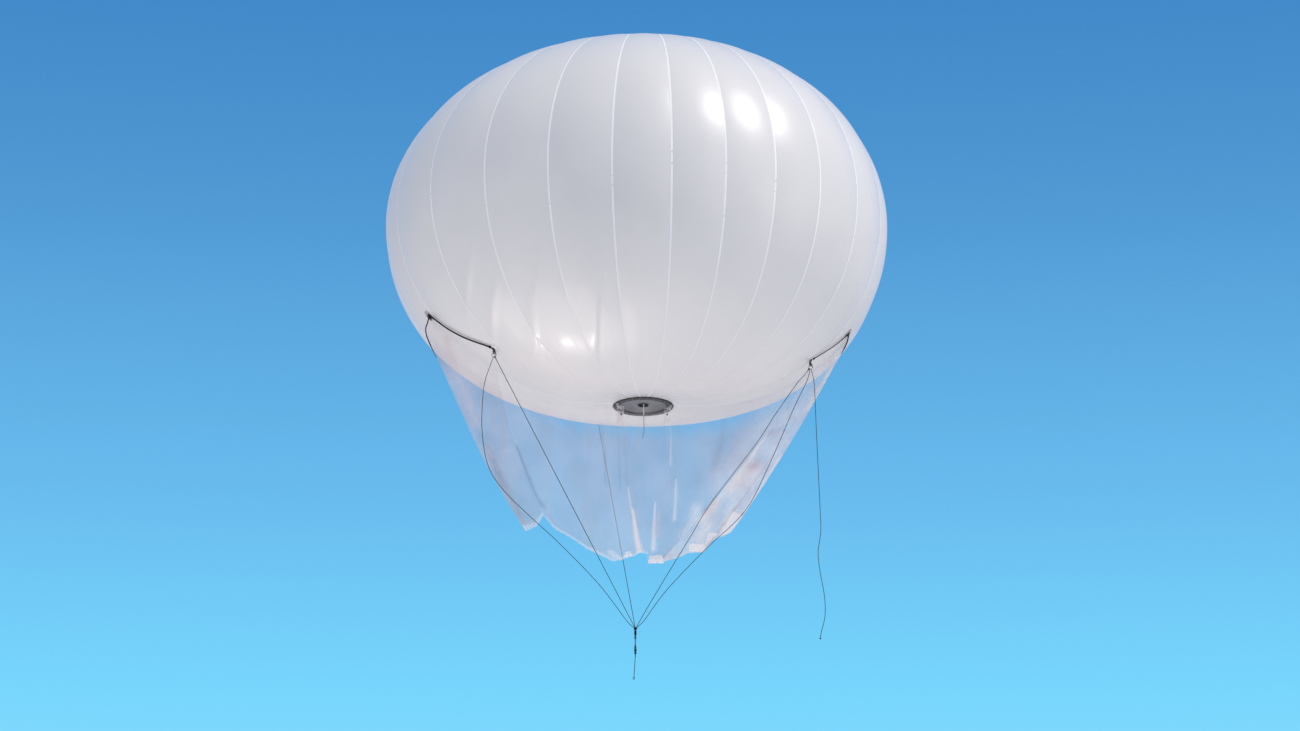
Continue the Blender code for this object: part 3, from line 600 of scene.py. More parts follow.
for number in range(GORES):

    def on_tape(column, row, k=number - 12):
        angle = TAPE_LOW + (TAPE_HIGH - LOW_END - 0.1) * row / GORE_ROWS
        narrow = 0.45 + 0.55 * min(1.0, outline(angle)[0] / 2.0)
        return by_seam(k, TAPE_ACROSS[column] * narrow, angle, TAPE_LIFT[column])

    tape = sheet_grid(len(TAPE_ACROSS) - 1, GORE_ROWS, on_tape)
    give_wall(tape, 0.0006)
    settle(tape, f"seam_tape_{number + 1:02d}", tape_film, ())

# Crown disc
# A round patch of the same film closes the tops of the gores. A welded band runs round its edge.


def weld(made):
    """Merges doubled points and turns all the faces outwards."""
    pick(made)
    bpy.ops.object.mode_set(mode="EDIT")
    bpy.ops.mesh.select_all(action="SELECT")
    bpy.ops.mesh.remove_doubles(threshold=0.00002)
    bpy.ops.mesh.normals_make_consistent(inside=False)
    bpy.ops.object.mode_set(mode="OBJECT")


def turned(
    name, profile, steps, finish, nodes=(), slot=None, place=(0, 0, 0), tilt=0.0, smooth=35.0,
    body="envelope",
):
    """A round piece: the profile of (radius, height) points spun once round the upright axis."""
    mesh = bpy.data.meshes.new(name)
    ends = [(i, i + 1) for i in range(len(profile) - 1)]
    if profile[0][0] > 0 and profile[-1][0] > 0:
        ends.append((len(profile) - 1, 0))
    mesh.from_pydata([(r, 0.0, z) for r, z in profile], ends, [])
    made = bpy.data.objects.new(name, mesh)
    bpy.context.scene.collection.objects.link(made)
    pick(made)
    bpy.ops.object.mode_set(mode="EDIT")
    bpy.ops.mesh.select_all(action="SELECT")
    bpy.ops.mesh.spin(steps=steps, angle=tau, center=(0, 0, 0), axis=(0, 0, 1))
    weld(made)
    made.location = place
    made.rotation_euler = (tilt, 0.0, 0.0)
    return settle(made, name, finish, nodes, smooth, body)


def crown_height(r):
    angle = degrees(acos((r / RADIUS) ** (1 / UPPER_POWER)))
    return outline(angle)[1]


crown_profile = [(r, crown_height(r) + lift) for r, lift in (
    (0.0, 0.0042), (0.06, 0.0042), (0.12, 0.0042), (0.18, 0.0042), (0.235, 0.0042),
    (0.262, 0.0042), (0.264, 0.0056), (0.28, 0.0056), (0.2975, 0.0054), (0.3, 0.004),
    (0.3, 0.0016), (0.24, 0.0016), (0.12, 0.0016), (0.0, 0.0016),
)]
# The disc takes the seam tape's finish; at this height its painted light makes it bright white.
node = ["crown_disc"]
turned("crown_film_disc", crown_profile, 128, tape_film, node, "envelope_film", smooth=60.0)

# Base plate
# A black moulded ring clamps the gores round the filling opening, with a row of screws. A dished
# grey plate closes it, and a black cup closed at its top stands in its middle: its black is painted
# shade for the dark inside of the open filling port. The plate sits a little aslant.

PLATE_MIDDLE = -1.803
PLATE_HOLE = 0.235
PORT_RADIUS = 0.055

SCREW_CIRCLE = 0.268
ON_PLATE = ((0, 0, PLATE_MIDDLE), -BASE_TILT)

black_plastic = gentle(
    "black_moulded_plastic", (0.018, 0.018, 0.02), (0.05, 0.05, 0.054), (0.35, 0.55), 14.0,
    0.0003, 220.0,
)
grey_plastic = gentle(
    "grey_moulded_plastic", (0.095, 0.092, 0.095), (0.185, 0.18, 0.182), (0.3, 0.48), 7.0,
    0.0006, 70.0, coat=0.3, coat_rough=0.2,
)
white_plastic = gentle(
    "white_plastic", (0.76, 0.76, 0.74), (0.87, 0.87, 0.85), (0.28, 0.42), 30.0, 0.0002, 300.0
)
screw_steel = gentle(
    "dull_steel", (0.3, 0.3, 0.31), (0.52, 0.52, 0.53), (0.25, 0.45), 40.0, 0.0001, 500.0, 1.0
)

ring_profile = [
    (PLATE_HOLE, 0.0125), (PLATE_RADIUS - 0.003, 0.0125), (PLATE_RADIUS - 0.001, 0.0115),
    (PLATE_RADIUS, 0.0095), (PLATE_RADIUS, -0.007), (PLATE_RADIUS - 0.001, -0.0098),
    (PLATE_RADIUS - 0.0035, -0.011), (PLATE_RADIUS - 0.0085, -0.011),
    (PLATE_RADIUS - 0.01, -0.0095), (PLATE_HOLE + 0.012, -0.0095), (PLATE_HOLE + 0.0105, -0.011),
    (PLATE_HOLE + 0.002, -0.011), (PLATE_HOLE, -0.0095),
]
plate = "base_black_plastic"
turned("base_clamp_ring", ring_profile, 144, black_plastic, ["base_ring"], plate, *ON_PLATE)

under = []
for i in range(15):
    r = PLATE_HOLE - 0.0004 + (PORT_RADIUS - PLATE_HOLE + 0.0004) * i / 14
    bead = 0.0008 if i % 7 == 3 else 0.0
    under.append((r, 0.003 + 0.009 * sin(pi / 2 * i / 14) + bead))
dish = [(r, z + 0.004) for r, z in under[::-1]] + under
turned(
    "base_dished_plate", dish, 144, grey_plastic, ["base_dish"], "base_grey_plastic", *ON_PLATE,
    60.0,
)

# The filling port is a cup closed at its top, all black: painted shade for the dark inside of the
# open port.
r = PORT_RADIUS - 0.0004
port_profile = [
    (0.0, 0.105), (r - 0.006, 0.105), (r - 0.002, 0.103), (r, 0.099), (r, 0.0055),
    (r - 0.001, 0.004), (r - 0.006, 0.004), (r - 0.007, 0.0055), (r - 0.007, 0.098),
    (r - 0.01, 0.1), (0.0, 0.1),
]
turned("filling_port", port_profile, 96, black_plastic, ["port_cup"], plate, *ON_PLATE)

tube_profile = [
    (0.0, 0.0), (0.0052, 0.0), (0.006, -0.0008), (0.006, -0.17), (0.007, -0.1712),
    (0.0072, -0.173), (0.0072, -0.188), (0.0066, -0.1898), (0.0052, -0.19), (0.0046, -0.189),
    (0.0046, -0.16), (0.0, -0.16),
]
place = (0.005, 0.004, TUBE_TOP)
turned("filling_tube", tube_profile, 48, white_plastic, ["fill_tube"], "white_plastic", place)


def rounded(made, width):
    """Rounds a block's edges, this far from each corner."""
    bpy.ops.object.modifier_add(type="BEVEL")
    made.modifiers[-1].width = width
    made.modifiers[-1].segments = 3
    bpy.ops.object.modifier_apply(modifier=made.modifiers[-1].name)
    return made


def join(name, made):
    pick(*made)
    bpy.ops.object.join()
    bpy.context.object.name = name
    return bpy.context.object


screws = []
for i in range(24):
    a = tau * (i + 0.5) / 24
    place = (SCREW_CIRCLE * sin(a), SCREW_CIRCLE * cos(a), -0.011)
    pick()
    bpy.ops.mesh.primitive_cylinder_add(vertices=20, radius=0.005, depth=0.004, location=place)
    screws.append(rounded(bpy.context.object, 0.0012))
pick(*screws)
bpy.ops.object.transform_apply()
screws = join("clamp_ring_screws", screws)
screws.location = (0, 0, PLATE_MIDDLE)
screws.rotation_euler = (-BASE_TILT, 0, 0)
settle(screws, "clamp_ring_screws", screw_steel, smooth=35.0)

# Load points
# Each is an eight-sided patch of grey coated cloth welded over the film, with a black fitting
# riveted on it. Thick cords run from the two front ones to the patches above the rings.

LEFT_SEAM, RIGHT_RIDGE, REAR_RIDGE = -69.94, 83.48, 193.68
LEFT_LOAD, RIGHT_LOAD, REAR_LOAD = (-71.97, -34.58), (80.45, -38.1), (193.68, -37.0)
LEFT_RING_WAY, RIGHT_RING_WAY = (-55.0, -52.0), (73.2, -51.4)

grey_cloth = gentle(
    "grey_coated_cloth", (0.34, 0.34, 0.34), (0.5, 0.5, 0.49), (0.55, 0.75), 25.0, 0.0004, 420.0
)
ring_cloth = gentle(
    "white_coated_cloth", (0.66, 0.66, 0.67), (0.82, 0.82, 0.82), (0.5, 0.7), 25.0, 0.0004, 420.0
)
webbing = gentle(
    "black_webbing", (0.01, 0.01, 0.011), (0.035, 0.035, 0.038), (0.7, 0.9), 90.0, 0.0006, 520.0
)
black_steel = gentle(
    "blackened_steel", (0.01, 0.01, 0.011), (0.045, 0.045, 0.048), (0.28, 0.5), 60.0, 0.0001, 700.0,
    metallic=0.5, coat=0.3, coat_rough=0.2
)
bright_steel = gentle(
    "polished_steel", (0.3, 0.3, 0.31), (0.5, 0.5, 0.51), (0.16, 0.3), 50.0, 0.00005, 600.0,
    metallic=1.0
)


def on_film(azimuth, angle, lift=0.0):
    """A point on the film at this azimuth."""
    k = -13
    while seam(k + 1) < azimuth:
        k += 1
    u = (azimuth - seam(k)) / (seam(k + 1) - seam(k))
    return gore_place(k, u, angle, lift)


def film_frame(azimuth, angle):
    """Where a point lies on the film, and the ways to the right, up and off it."""
    here = on_film(azimuth, angle)
    right = (on_film(azimuth + 0.5, angle) - on_film(azimuth - 0.5, angle)).normalized()
    up = on_film(azimuth, angle + 0.5) - on_film(azimuth, angle - 0.5)
    off = right.cross(up).normalized()
    return here, right, off.cross(right).normalized(), off


def patch(name, way, half, node, cloth):
    """An eight-sided patch that follows the film, with a raised welded edge."""
    azimuth, angle = way
    r = outline(angle)[0]
    per_angle = (Vector(outline(angle + 1)) - Vector(outline(angle))).length
    steps = 14

    def lie(column, row):
        x, y = column / steps * 2 - 1, row / steps * 2 - 1
        most = max(abs(x), abs(y))
        if abs(x) + abs(y) > 0:
            cut = min(1.0, 1.42 / (abs(x) + abs(y)) * most)
            x, y = x * cut, y * cut
        hem = 0.0007 if 0.8 < most < 0.97 else 0.0
        side = degrees(x * half / r)
        return on_film(azimuth + side, angle + y * half / per_angle, 0.0024 + hem)

    made = sheet_grid(steps, steps, lie)
    give_wall(made, 0.0012)
    settle(made, name, cloth, [node])


for side, way in (("left", LEFT_LOAD), ("right", RIGHT_LOAD), ("rear", REAR_LOAD)):
    patch(f"{side}_load_cloth", way, 0.05, f"{side}_load_patch", grey_cloth)
for side, way in (("left", LEFT_RING_WAY), ("right", RIGHT_RING_WAY)):
    patch(f"{side}_ring_cloth", way, 0.045, f"{side}_ring_patch", ring_cloth)


def placed_box(size, place, right, up, off, bevel):
    """A block with rounded edges, its sides along right, up and off."""
    pick()
    bpy.ops.mesh.primitive_cube_add(size=1.0)
    made = bpy.context.object
    made.scale = size
    bpy.ops.object.transform_apply(location=False, rotation=False, scale=True)
    rounded(made, bevel)
    turn = Matrix((right, up, off)).transposed().to_4x4()
    made.matrix_world = Matrix.Translation(place) @ turn
    bpy.ops.object.transform_apply()
    return made


def rod(name, points, radius, finish, nodes=(), body="envelope", cyclic=False):
    """A finished cord or round rod through the points."""
    made = mesh_of(bent_curve(name, points, radius, finish, cyclic))
    return settle(made, name, finish, nodes, body=body)


def oval(place, right, up, wide, high):
    """Points on an oval in the plane of right and up."""
    ways = [tau * i / 20 for i in range(20)]
    return [place + right * (wide * cos(t)) + up * (high * sin(t)) for t in ways]


def coil(foot, along, first, last, reach, turns, steps, side=None, other=None):
    """Points on turns round a line, from first to last metres along it."""
    side = side or along.orthogonal().normalized()
    other = other or along.cross(side)
    points = []
    for i in range(steps + 1):
        t = tau * turns * i / steps
        out = side * cos(t) + other * sin(t)
        points.append(foot + along * (first + (last - first) * i / steps) + out * reach)
    return points


def load_fitting(side, way, turn, size):
    """A black plate with four rivets and an oval eye that the cords are tied to."""
    name, turn = f"{side}_load_fitting", radians(turn)
    here, right, up, off = film_frame(*way)
    along = right * cos(turn) + up * sin(turn)
    across = off.cross(along)
    axes = along, across, off
    parts = [
        placed_box((0.04 * size, 0.03 * size, 0.006), here + off * 0.007, *axes, 0.002),
        placed_box((0.012 * size, 0.03 * size, 0.012), here + off * 0.011, *axes, 0.003),
    ]
    for x, y in ((-0.014, -0.009), (-0.014, 0.009), (0.014, -0.009), (0.014, 0.009)):
        rivet = here + along * x * size + across * y * size + off * 0.0098
        pick()
        bpy.ops.mesh.primitive_uv_sphere_add(
            segments=16, ring_count=10, radius=0.0028 * size, location=rivet
        )
        parts.append(bpy.context.object)
    settle(join(name, parts), name, black_steel, (), 35.0)
    eye = here + along * 0.021 * size + off * 0.0125
    eye = oval(eye, along, across, 0.01 * size, 0.012 * size)
    rod(f"{side}_load_eye", eye, 0.0028, black_steel, (), cyclic=True)
    return here + off * 0.01


left_fitting = load_fitting("left", (-71.75, -35.15), -62, 1.35)
right_fitting = load_fitting("right", (80.2, -38.2), -125, 0.9)
load_fitting("rear", (193.68, -37.15), -90, 0.8)

for side, radius, first, last, inward, rise, sag in (
    ("left", 0.0075, LEFT_LOAD, LEFT_RING_WAY, 0.7, 0.2, 1.3),
    ("right", 0.0045, RIGHT_LOAD, RIGHT_RING_WAY, -0.7, -0.6, 0.0),
):
    first = (first[0] + inward * 1.3, first[1] + rise)
    last = (last[0] - inward * 0.4, last[1] + 0.6)
    route = []
    for i in range(29):
        part = i / 28
        droop = sin(pi * part)
        azimuth = first[0] + (last[0] - first[0]) * part
        angle = first[1] + (last[1] - first[1]) * part - sag * droop
        route.append(on_film(azimuth, angle, radius + 0.0046 + 0.005 * droop))
    rod(f"{side}_link_rope", route, radius, dark_braid, [f"{side}_link_cord"])
    along = (route[-1] - route[-3]).normalized()
    turns = coil(route[-1], along, -0.01, 0.006, radius + 0.0025, 4, 48)
    rod(f"{side}_link_whipping", turns, 0.003, dark_braid)

# Snaps and rings
# A black snap hangs from a webbing loop on each ring patch: a turned swivel body and a bent
# hook of rod. The hook carries a bright welded steel ring for the bridle lines.

RING_MAJOR, RING_MINOR = 0.0195, 0.003
ACROSS, AWAY, UPWARD = Vector((1, 0, 0)), Vector((0, 1, 0)), Vector((0, 0, 1))
snap_profile = [
    (0.0, 0.034), (0.007, 0.034), (0.0105, 0.031), (0.011, 0.026), (0.0082, 0.023),
    (0.0082, 0.021), (0.0125, 0.018), (0.0135, 0.014), (0.0135, 0.008), (0.011, 0.004),
    (0.0076, 0.003), (0.0, 0.003),
]


def hoop(place, major, minor, around, across):
    """A ring of round rod that faces the front."""
    pick()
    bpy.ops.mesh.primitive_torus_add(
        location=place, rotation=(pi / 2, 0.0, 0.0), major_radius=major, minor_radius=minor,
        major_segments=around, minor_segments=across,
    )
    return bpy.context.object


for side, way, ring in (("left", LEFT_RING_WAY, LEFT_RING), ("right", RIGHT_RING_WAY, RIGHT_RING)):
    here, right, up, off = film_frame(way[0] - 0.3, way[1] - 0.3)
    top = ring + UPWARD * (RING_MAJOR + RING_MINOR)
    strap = placed_box((0.026, 0.03, 0.005), here + off * 0.0062, right, up, off, 0.0018)
    name = f"{side}_snap_loop"
    loop = [here + off * 0.006 + ACROSS * 0.006, here + off * 0.012 + ACROSS * 0.007]
    loop += [top + Vector(step) for step in ((0.006, 0, 0.03), (0, 0, 0.024), (-0.006, 0, 0.03))]
    loop += [here + off * 0.012 - ACROSS * 0.007, here + off * 0.006 - ACROSS * 0.006]
    loop = mesh_of(bent_curve(name, loop, 0.004, webbing))
    settle(join(name, [loop, strap]), name, webbing, ())
    node = [f"{side}_hanger"]
    turned(f"{side}_snap_body", snap_profile, 40, black_steel, node, "dark_steel", top)
    name = f"{side}_snap_hook"
    hook = []
    for i in range(17):
        t = radians(100 - 330 * i / 16)
        bend = (0.006 * cos(t), 0.0085 * cos(t), -0.0045 + 0.0105 * sin(t))
        hook.append(top + Vector(bend))
    hook = mesh_of(bent_curve(name, hook, 0.0032, black_steel))
    axes = Vector((0.95, 0.0, 0.31)), AWAY, Vector((-0.31, 0.0, 0.95))
    gate = placed_box((0.0085, 0.011, 0.04), top + Vector((0.017, -0.006, -0.008)), *axes, 0.003)
    axes = ACROSS, AWAY, UPWARD
    bridge = placed_box((0.018, 0.01, 0.009), top + Vector((0.009, -0.003, 0.008)), *axes, 0.003)
    settle(join(name, [hook, gate, bridge]), name, black_steel, ())
    made = hoop(ring, RING_MAJOR, RING_MINOR, 72, 20)
    settle(made, f"{side}_welded_ring", bright_steel, [f"{side}_ring"])

# Taut bridle lines
# The same 6 mm cord, pulled straight by the tether. Each is tied to its ring with a hitch and
# whipped with thread; all of them end in the knot above the swivel.


def leave_ring(ring):
    """Where a taut line leaves its ring, and its way down."""
    way = (KNOT_PLACE - ring).normalized()
    flat = Vector((way.x, 0.0, way.z)).normalized()
    return ring + flat * RING_MAJOR + way * (RING_MINOR + 0.0003), way


def whipping(name, start, way, body="envelope"):
    """Close turns of black thread round a line, next to where it is tied."""
    rod(name, coil(start, way, 0.004, 0.024, 0.0036, 8, 64), 0.0013, black_braid, body=body)


def taut_line(name, node, points, way, ring=None):
    """A taut line with its whipping, and with three turns round the rod of its ring."""
    rod(name, points, LINE_THICKNESS / 2, black_braid, [node])
    if ring:
        flat = Vector((way.x, 0.0, way.z)).normalized()
        along = Vector((flat.z, 0.0, -flat.x))
        turns = coil(ring + flat * RING_MAJOR, along, -0.008, 0.008, 0.0056, 3, 30, flat, AWAY)
        rod(f"{name}_hitch", turns, 0.0026, black_braid)
    whipping(f"{name}_whipping", points[0], way)


def straight(start):
    """Points from here to the gathering knot."""
    end = on_knot(start - KNOT_PLACE)[0]
    return [start.lerp(end, i / 20) for i in range(21)]


start, way = leave_ring(LEFT_RING)
taut_line("left_taut_cord", "left_taut_line", straight(start), way, LEFT_RING)

start, way = leave_ring(RIGHT_RING)
line = [
    start, start + way * 0.02, start + way * 0.06, (1.52, -0.485, -1.675), (1.289, -0.432, -2.0),
    (1.109, -0.365, -2.266), (0.664, -0.248, -2.84), (0.448, -0.177, -3.185),
    (0.116, -0.068, -3.719),
]
line = smooth_run(line + [on_knot(Vector(line[-1]) - KNOT_PLACE)[0]], 40)
taut_line("right_inner_cord", "right_inner_line", line, way, RIGHT_RING)

line = straight(on_film(REAR_RIDGE - 0.25, -37.2, 0.01))
taut_line("rear_cord", "rear_line", line, (line[-1] - line[0]).normalized())

# Drag sail
# Clear film hangs from the seam line on the left and the gore on the right, in three panels that
# share two creases. It is smooth but for a few long folds, and its hem is ragged and turned up.

SAIL_TOP = -1.8448
SAIL_WALL = 0.0006


def wing_way(reach):
    azimuth = radians(-69.9 if reach < 0 else RIGHT_RIDGE)
    return Vector((sin(azimuth), -cos(azimuth), 0.0))


def hem_point(reach, height):
    return wing_way(reach) * abs(reach) + Vector((0.0, 0.0, height))


def clear_film(name, thin, thick, patchy, grain):
    """Thin clear film. Its "cover" attribute makes it denser, as in folds; its second attribute
    sets its tint from dull to white, with painted highlights on lit folds and hems and painted
    shade on dull ones.
    """
    made, tree, shader = new_finish(name)
    place = add(tree, "TexCoord").outputs["Object"]
    cover, tint_and_shading = add(tree, "Attribute"), add(tree, "Attribute")
    cover.attribute_name, tint_and_shading.attribute_name = "cover", "tint_and_shading"
    cloud = noisy(tree, place, grain, 6.0, -patchy, patchy, (1.0, 1.0, 0.45))
    streak = noisy(tree, place, 11.0, 3.0, -0.035, 0.035, (1.0, 1.0, 0.1))
    both = reckon(tree, "ADD", cloud, streak)
    dense = reckon(tree, "ADD", cover.outputs["Fac"], both, clamp=True)
    veil = add(tree, "MapRange", {"To Min": thin, "To Max": thick, "Value": dense})
    drift = noisy(tree, place, grain * 1.7, 5.0, -0.12 - patchy * 0.5, 0.12 + patchy * 0.5)
    # The second attribute moves the colour from dull pinkish grey to white: the film's tint, with
    # painted light and shade on its folds and hems.
    pale = reckon(tree, "ADD", tint_and_shading.outputs["Fac"], drift, clamp=True)
    creases = noisy(tree, place, 12.0, 6.0, 0.0, 1.0, (1.0, 1.0, 0.35))
    bump = add(tree, "Bump", {"Strength": 0.5, "Distance": 0.003, "Height": creases})
    feed(tree, shader, {
        "Alpha": veil.outputs[0],
        "Base Color": ramp(tree, pale, [
            (0.0, (0.52, 0.42, 0.42)), (0.35, (0.86, 0.69, 0.69)),
            (0.6, (0.93, 0.87, 0.88)), (1.0, (1.0, 0.99, 0.99)),
        ]),
        "Roughness": noisy(tree, place, 9.0, 4.0, 0.12, 0.3),
        "Normal": bump.outputs[0],
        "Coat Weight": 0.5,
        "Coat Roughness": 0.08,
    })
    return made


def sail_head(top):
    """The top of a station: under the film at (azimuth, angle), or a plain point."""
    if isinstance(top, tuple):
        return on_film(top[0], top[1]) - Vector((0, 0, 0.003))
    return top


def nearness(x, z, run, first, last):
    """How near (x, z) is to a run of points, whose reach goes from first to last metres."""
    best = 0.0
    for i, (a, b) in enumerate(zip(run, run[1:])):
        dx, dz = b[0] - a[0], b[1] - a[1]
        part = ((x - a[0]) * dx + (z - a[1]) * dz) / (dx * dx + dz * dz)
        part = max(0.0, min(1.0, part))
        far = hypot(x - a[0] - dx * part, z - a[1] - dz * part)
        reach = first + (last - first) * (i + part) / (len(run) - 1)
        best = max(best, exp(-((far / reach) ** 2)))
    return best


def mark(made, label, value):
    """Gives each point of a sheet, by its number, this value of the attribute."""
    marks = made.data.attributes.new(label, "FLOAT", "POINT")
    for i in range(len(made.data.vertices)):
        marks.data[i].value = value(i)


def sail_panel(stations, folds, plain, rows, apart, crumple, seed, spread=None):
    """A film panel. A station is (its top, foot, bow, way along the wing); a fold is
    (run of (x, z) places, first and last reach, cover, tint with painted light and shade, how far
    it stands out); plain is the tint between the folds."""
    cuts = [0.0]
    for a, b in zip(stations, stations[1:]):
        cuts.append(cuts[-1] + max(0.05, (sail_head(b[0]) - sail_head(a[0])).length))
    columns = max(8, round(cuts[-1] / apart))
    covers, tints_and_shadings = {}, {}

    def at(column, row):
        u = column / columns
        want = u * cuts[-1]
        i = 0
        while i < len(cuts) - 2 and cuts[i + 1] < want:
            i += 1
        part = min(1.0, (want - cuts[i]) / (cuts[i + 1] - cuts[i]))
        a, b = stations[i], stations[i + 1]
        if isinstance(a[0], tuple) and isinstance(b[0], tuple):
            top = sail_head(tuple(p + (q - p) * part for p, q in zip(a[0], b[0])))
        else:
            top = sail_head(a[0]).lerp(sail_head(b[0]), part)
        foot, bow, way = a[1].lerp(b[1], part), a[2] + (b[2] - a[2]) * part, a[3].lerp(b[3], part)
        v = 1 - row / rows
        ragged = 0.008 * waver(u * 60.0, seed, 0.0)
        ragged += 0.005 * waver(u * 190.0, seed, 4.0)
        foot = foot + Vector((0.0, 0.0, ragged))
        place = top.lerp(foot, v) + way * (bow * 4 * v * (1 - v))
        if spread:
            place += way * spread(u, v)
        aside = Vector((-way.y, way.x, 0.0)).normalized()
        if aside.y > 0:
            aside = -aside
        deep = 0.006 * waver(u * 26.0, v * 1.3, seed) * v**0.8
        # Near the top the film is made clearer and painted paler: painted light that offsets the
        # envelope's shadow on the sail's top band.
        cover = 0.24 * min(1.0, max(0.0, v - 0.08) / 0.14)
        tint_and_shading = plain + max(0.0, 0.62 - plain) * (1 - min(1.0, v / 0.14))
        # A fold makes the film denser, as doubled film, and sets its tint to the fold's: a painted
        # highlight on folds that catch the light, painted shade on dull ones.
        for run, first, last, more, shade, stand in folds:
            near = nearness(place.x, place.z, run, first, last)
            if near > 0.02:
                cover += more * near
                tint_and_shading += (shade - tint_and_shading) * near
                deep += stand * near
        # Crumples make the film denser along their ridges, and are painted paler on their ridges
        # and bulges: painted highlights on the crumples.
        if crumple:
            rough = noise.noise(place * 7.0 + Vector((seed, 0, 0)))
            deep += crumple * rough * min(1.0, v * 5)
            ridge = max(0.0, 1 - abs(rough) * 11)
            cover += 0.16 * ridge + 0.25 * max(0.0, rough)
            tint_and_shading += (0.85 - tint_and_shading) * (0.25 * ridge + 0.6 * max(0.0, rough))
        # The hem's bottom rows are denser and painted paler: a painted highlight along the hem.
        if row <= 1:
            cover = max(cover, 0.35)
            tint_and_shading = max(tint_and_shading, 0.7)
        covers[(column, row)] = min(1.0, cover)
        tints_and_shadings[(column, row)] = tint_and_shading
        return place + aside * deep

    made = sheet_grid(columns, rows, at)
    for label, values in (("cover", covers), ("tint_and_shading", tints_and_shadings)):
        mark(made, label, lambda i: values[(i % (columns + 1), i // (columns + 1))])
    return made


def turned_hem(corners, stand, cover, tint_and_shading, seed):
    """Film that is turned up in front of the hem: low left, low right, top right, top left."""
    a, b, c, d = (Vector(corner) for corner in corners)

    def at(column, row):
        u, v = column / 10, row / 8
        place = a.lerp(b, u).lerp(d.lerp(c, u), v)
        place.y -= stand * sin(pi * (0.15 + 0.7 * v))
        place.z += 0.006 * waver(u * 5.0, v * 3.0, seed)
        place.y += 0.008 * waver(u * 4.0, v * 4.0, seed + 3.0)
        return place

    made = sheet_grid(10, 8, at)
    # Turned-up film is denser, and its given tint is painted pale, paler still at its edges: a
    # painted highlight where it catches the light.
    for label, value, edge in (("cover", cover, 0.25), ("tint_and_shading", tint_and_shading, 0.1)):
        mark(made, label, lambda i: min(1.0, value + edge * (i // 11 == 0 or i % 11 == 10)))
    return made


def hang_film(name, node, finish, pieces):
    """Joins a sail panel with its turned hems and gives it its thickness, after its flat area."""
    made = join(name, pieces) if len(pieces) > 1 else pieces[0]
    area = sum(face.area for face in made.data.polygons)
    give_wall(made, SAIL_WALL, 0.0)
    return settle(made, name, finish, [node]), area


def under_film(azimuth, way, rows):
    """Stations whose tops follow the film: (angle of the top, foot's reach and height, bow)."""
    return [((azimuth, angle), hem_point(reach, z), bow, way) for angle, reach, z, bow in rows]


left, right = wing_way(-1), wing_way(1)
main_stations = under_film(LEFT_SEAM, left, [
    (-59.3, -1.033, -2.987, 0.06), (-64, -0.909, -3.116, 0.05), (-71.5, -0.775, -3.176, 0.04),
    (-78, -0.558, -3.3, 0.025), (-83, -0.31, -3.395, 0.01),
]) + [
    (hem_point(-0.267, SAIL_TOP), hem_point(-0.1, -3.33), 0.0, left),
    (Vector((-0.05, 0.03, -1.85)), Vector((-0.03, -0.01, -3.292)), 0.0, Vector((-1, 0, 0))),
    (Vector((0.1, 0.03, -1.85)), Vector((0.04, -0.01, -3.3)), 0.0, Vector((1, 0, 0))),
    (Vector((0.12, 0.028, -1.849)), Vector((0.048, -0.01, -3.396)), 0.0, Vector((1, 0, 0))),
    (hem_point(0.267, SAIL_TOP), hem_point(0.06, -3.4), 0.0, right),
] + under_film(RIGHT_RIDGE, right, [
    (-83, 0.08, -3.398, 0.01), (-78, 0.105, -3.394, 0.025), (-71.5, 0.128, -3.39, 0.04),
    (-64, 0.148, -3.388, 0.055), (-56.4, 0.162, -3.386, 0.062), (-54.3, 0.168, -3.384, 0.065),
])
main_folds = [
    ([(-1.237, -2.33), (-1.135, -2.578), (-1.047, -2.812), (-0.975, -2.9)], 0.02, 0.03, 0.16, 0.0,
        0.01),
    ([(-0.421, -2.0), (-0.378, -2.285), (-0.37, -2.623)], 0.012, 0.016, 0.06, 0.1, 0.004),
    ([(-0.262, -1.9), (-0.24, -2.284), (-0.226, -2.7)], 0.007, 0.012, 0.08, 0.2, 0.003),
    ([(-0.205, -1.9), (-0.179, -2.284), (-0.149, -2.724)], 0.007, 0.014, 0.08, 0.25, 0.003),
    ([(-0.15, -2.64), (-0.11, -2.9)], 0.01, 0.014, 0.14, 0.7, 0.008),
    ([(-0.104, -2.86), (-0.085, -3.0), (-0.062, -3.15), (-0.03, -3.3)], 0.01, 0.03, 0.95, 1.0,
        0.024),
    ([(0.117, -2.78), (0.11, -2.95), (0.107, -3.075), (0.102, -3.25)], 0.01, 0.024, 0.42, 0.95,
        0.012),
    ([(0.15, -2.9), (0.14, -3.1)], 0.03, 0.04, 0.1, 0.4, -0.006),
    ([(0.324, -2.56), (0.32, -2.75), (0.308, -2.96)], 0.01, 0.018, 0.26, 0.85, 0.009),
    ([(0.206, -1.9), (0.226, -2.279), (0.235, -2.64)], 0.006, 0.01, 0.1, 0.3, 0.005),
    ([(0.262, -1.9), (0.275, -2.168), (0.27, -2.4)], 0.007, 0.012, 0.14, 0.7, 0.004),
    ([(0.811, -1.98), (0.78, -2.167), (0.709, -2.471)], 0.03, 0.04, 0.05, 0.15, 0.008),
    ([(1.35, -1.85), (1.1, -2.25), (0.83, -2.62)], 0.22, 0.19, 0.22, 0.62, 0.0),
    ([(0.528, -2.86), (0.52, -3.0), (0.44, -3.12)], 0.06, 0.08, 0.35, 0.8, 0.01),
    ([(-0.64, -2.5), (-0.56, -3.05)], 0.06, 0.08, 0.04, 0.3, 0.008),
    ([(-0.33, -3.3), (-0.22, -3.37), (-0.12, -3.33)], 0.022, 0.026, 0.3, 0.8, 0.01),
    ([(-0.96, -2.93), (-0.845, -3.09), (-0.648, -3.21), (-0.4, -3.32)], 0.012, 0.016, 0.12, 0.2,
        0.006),
]
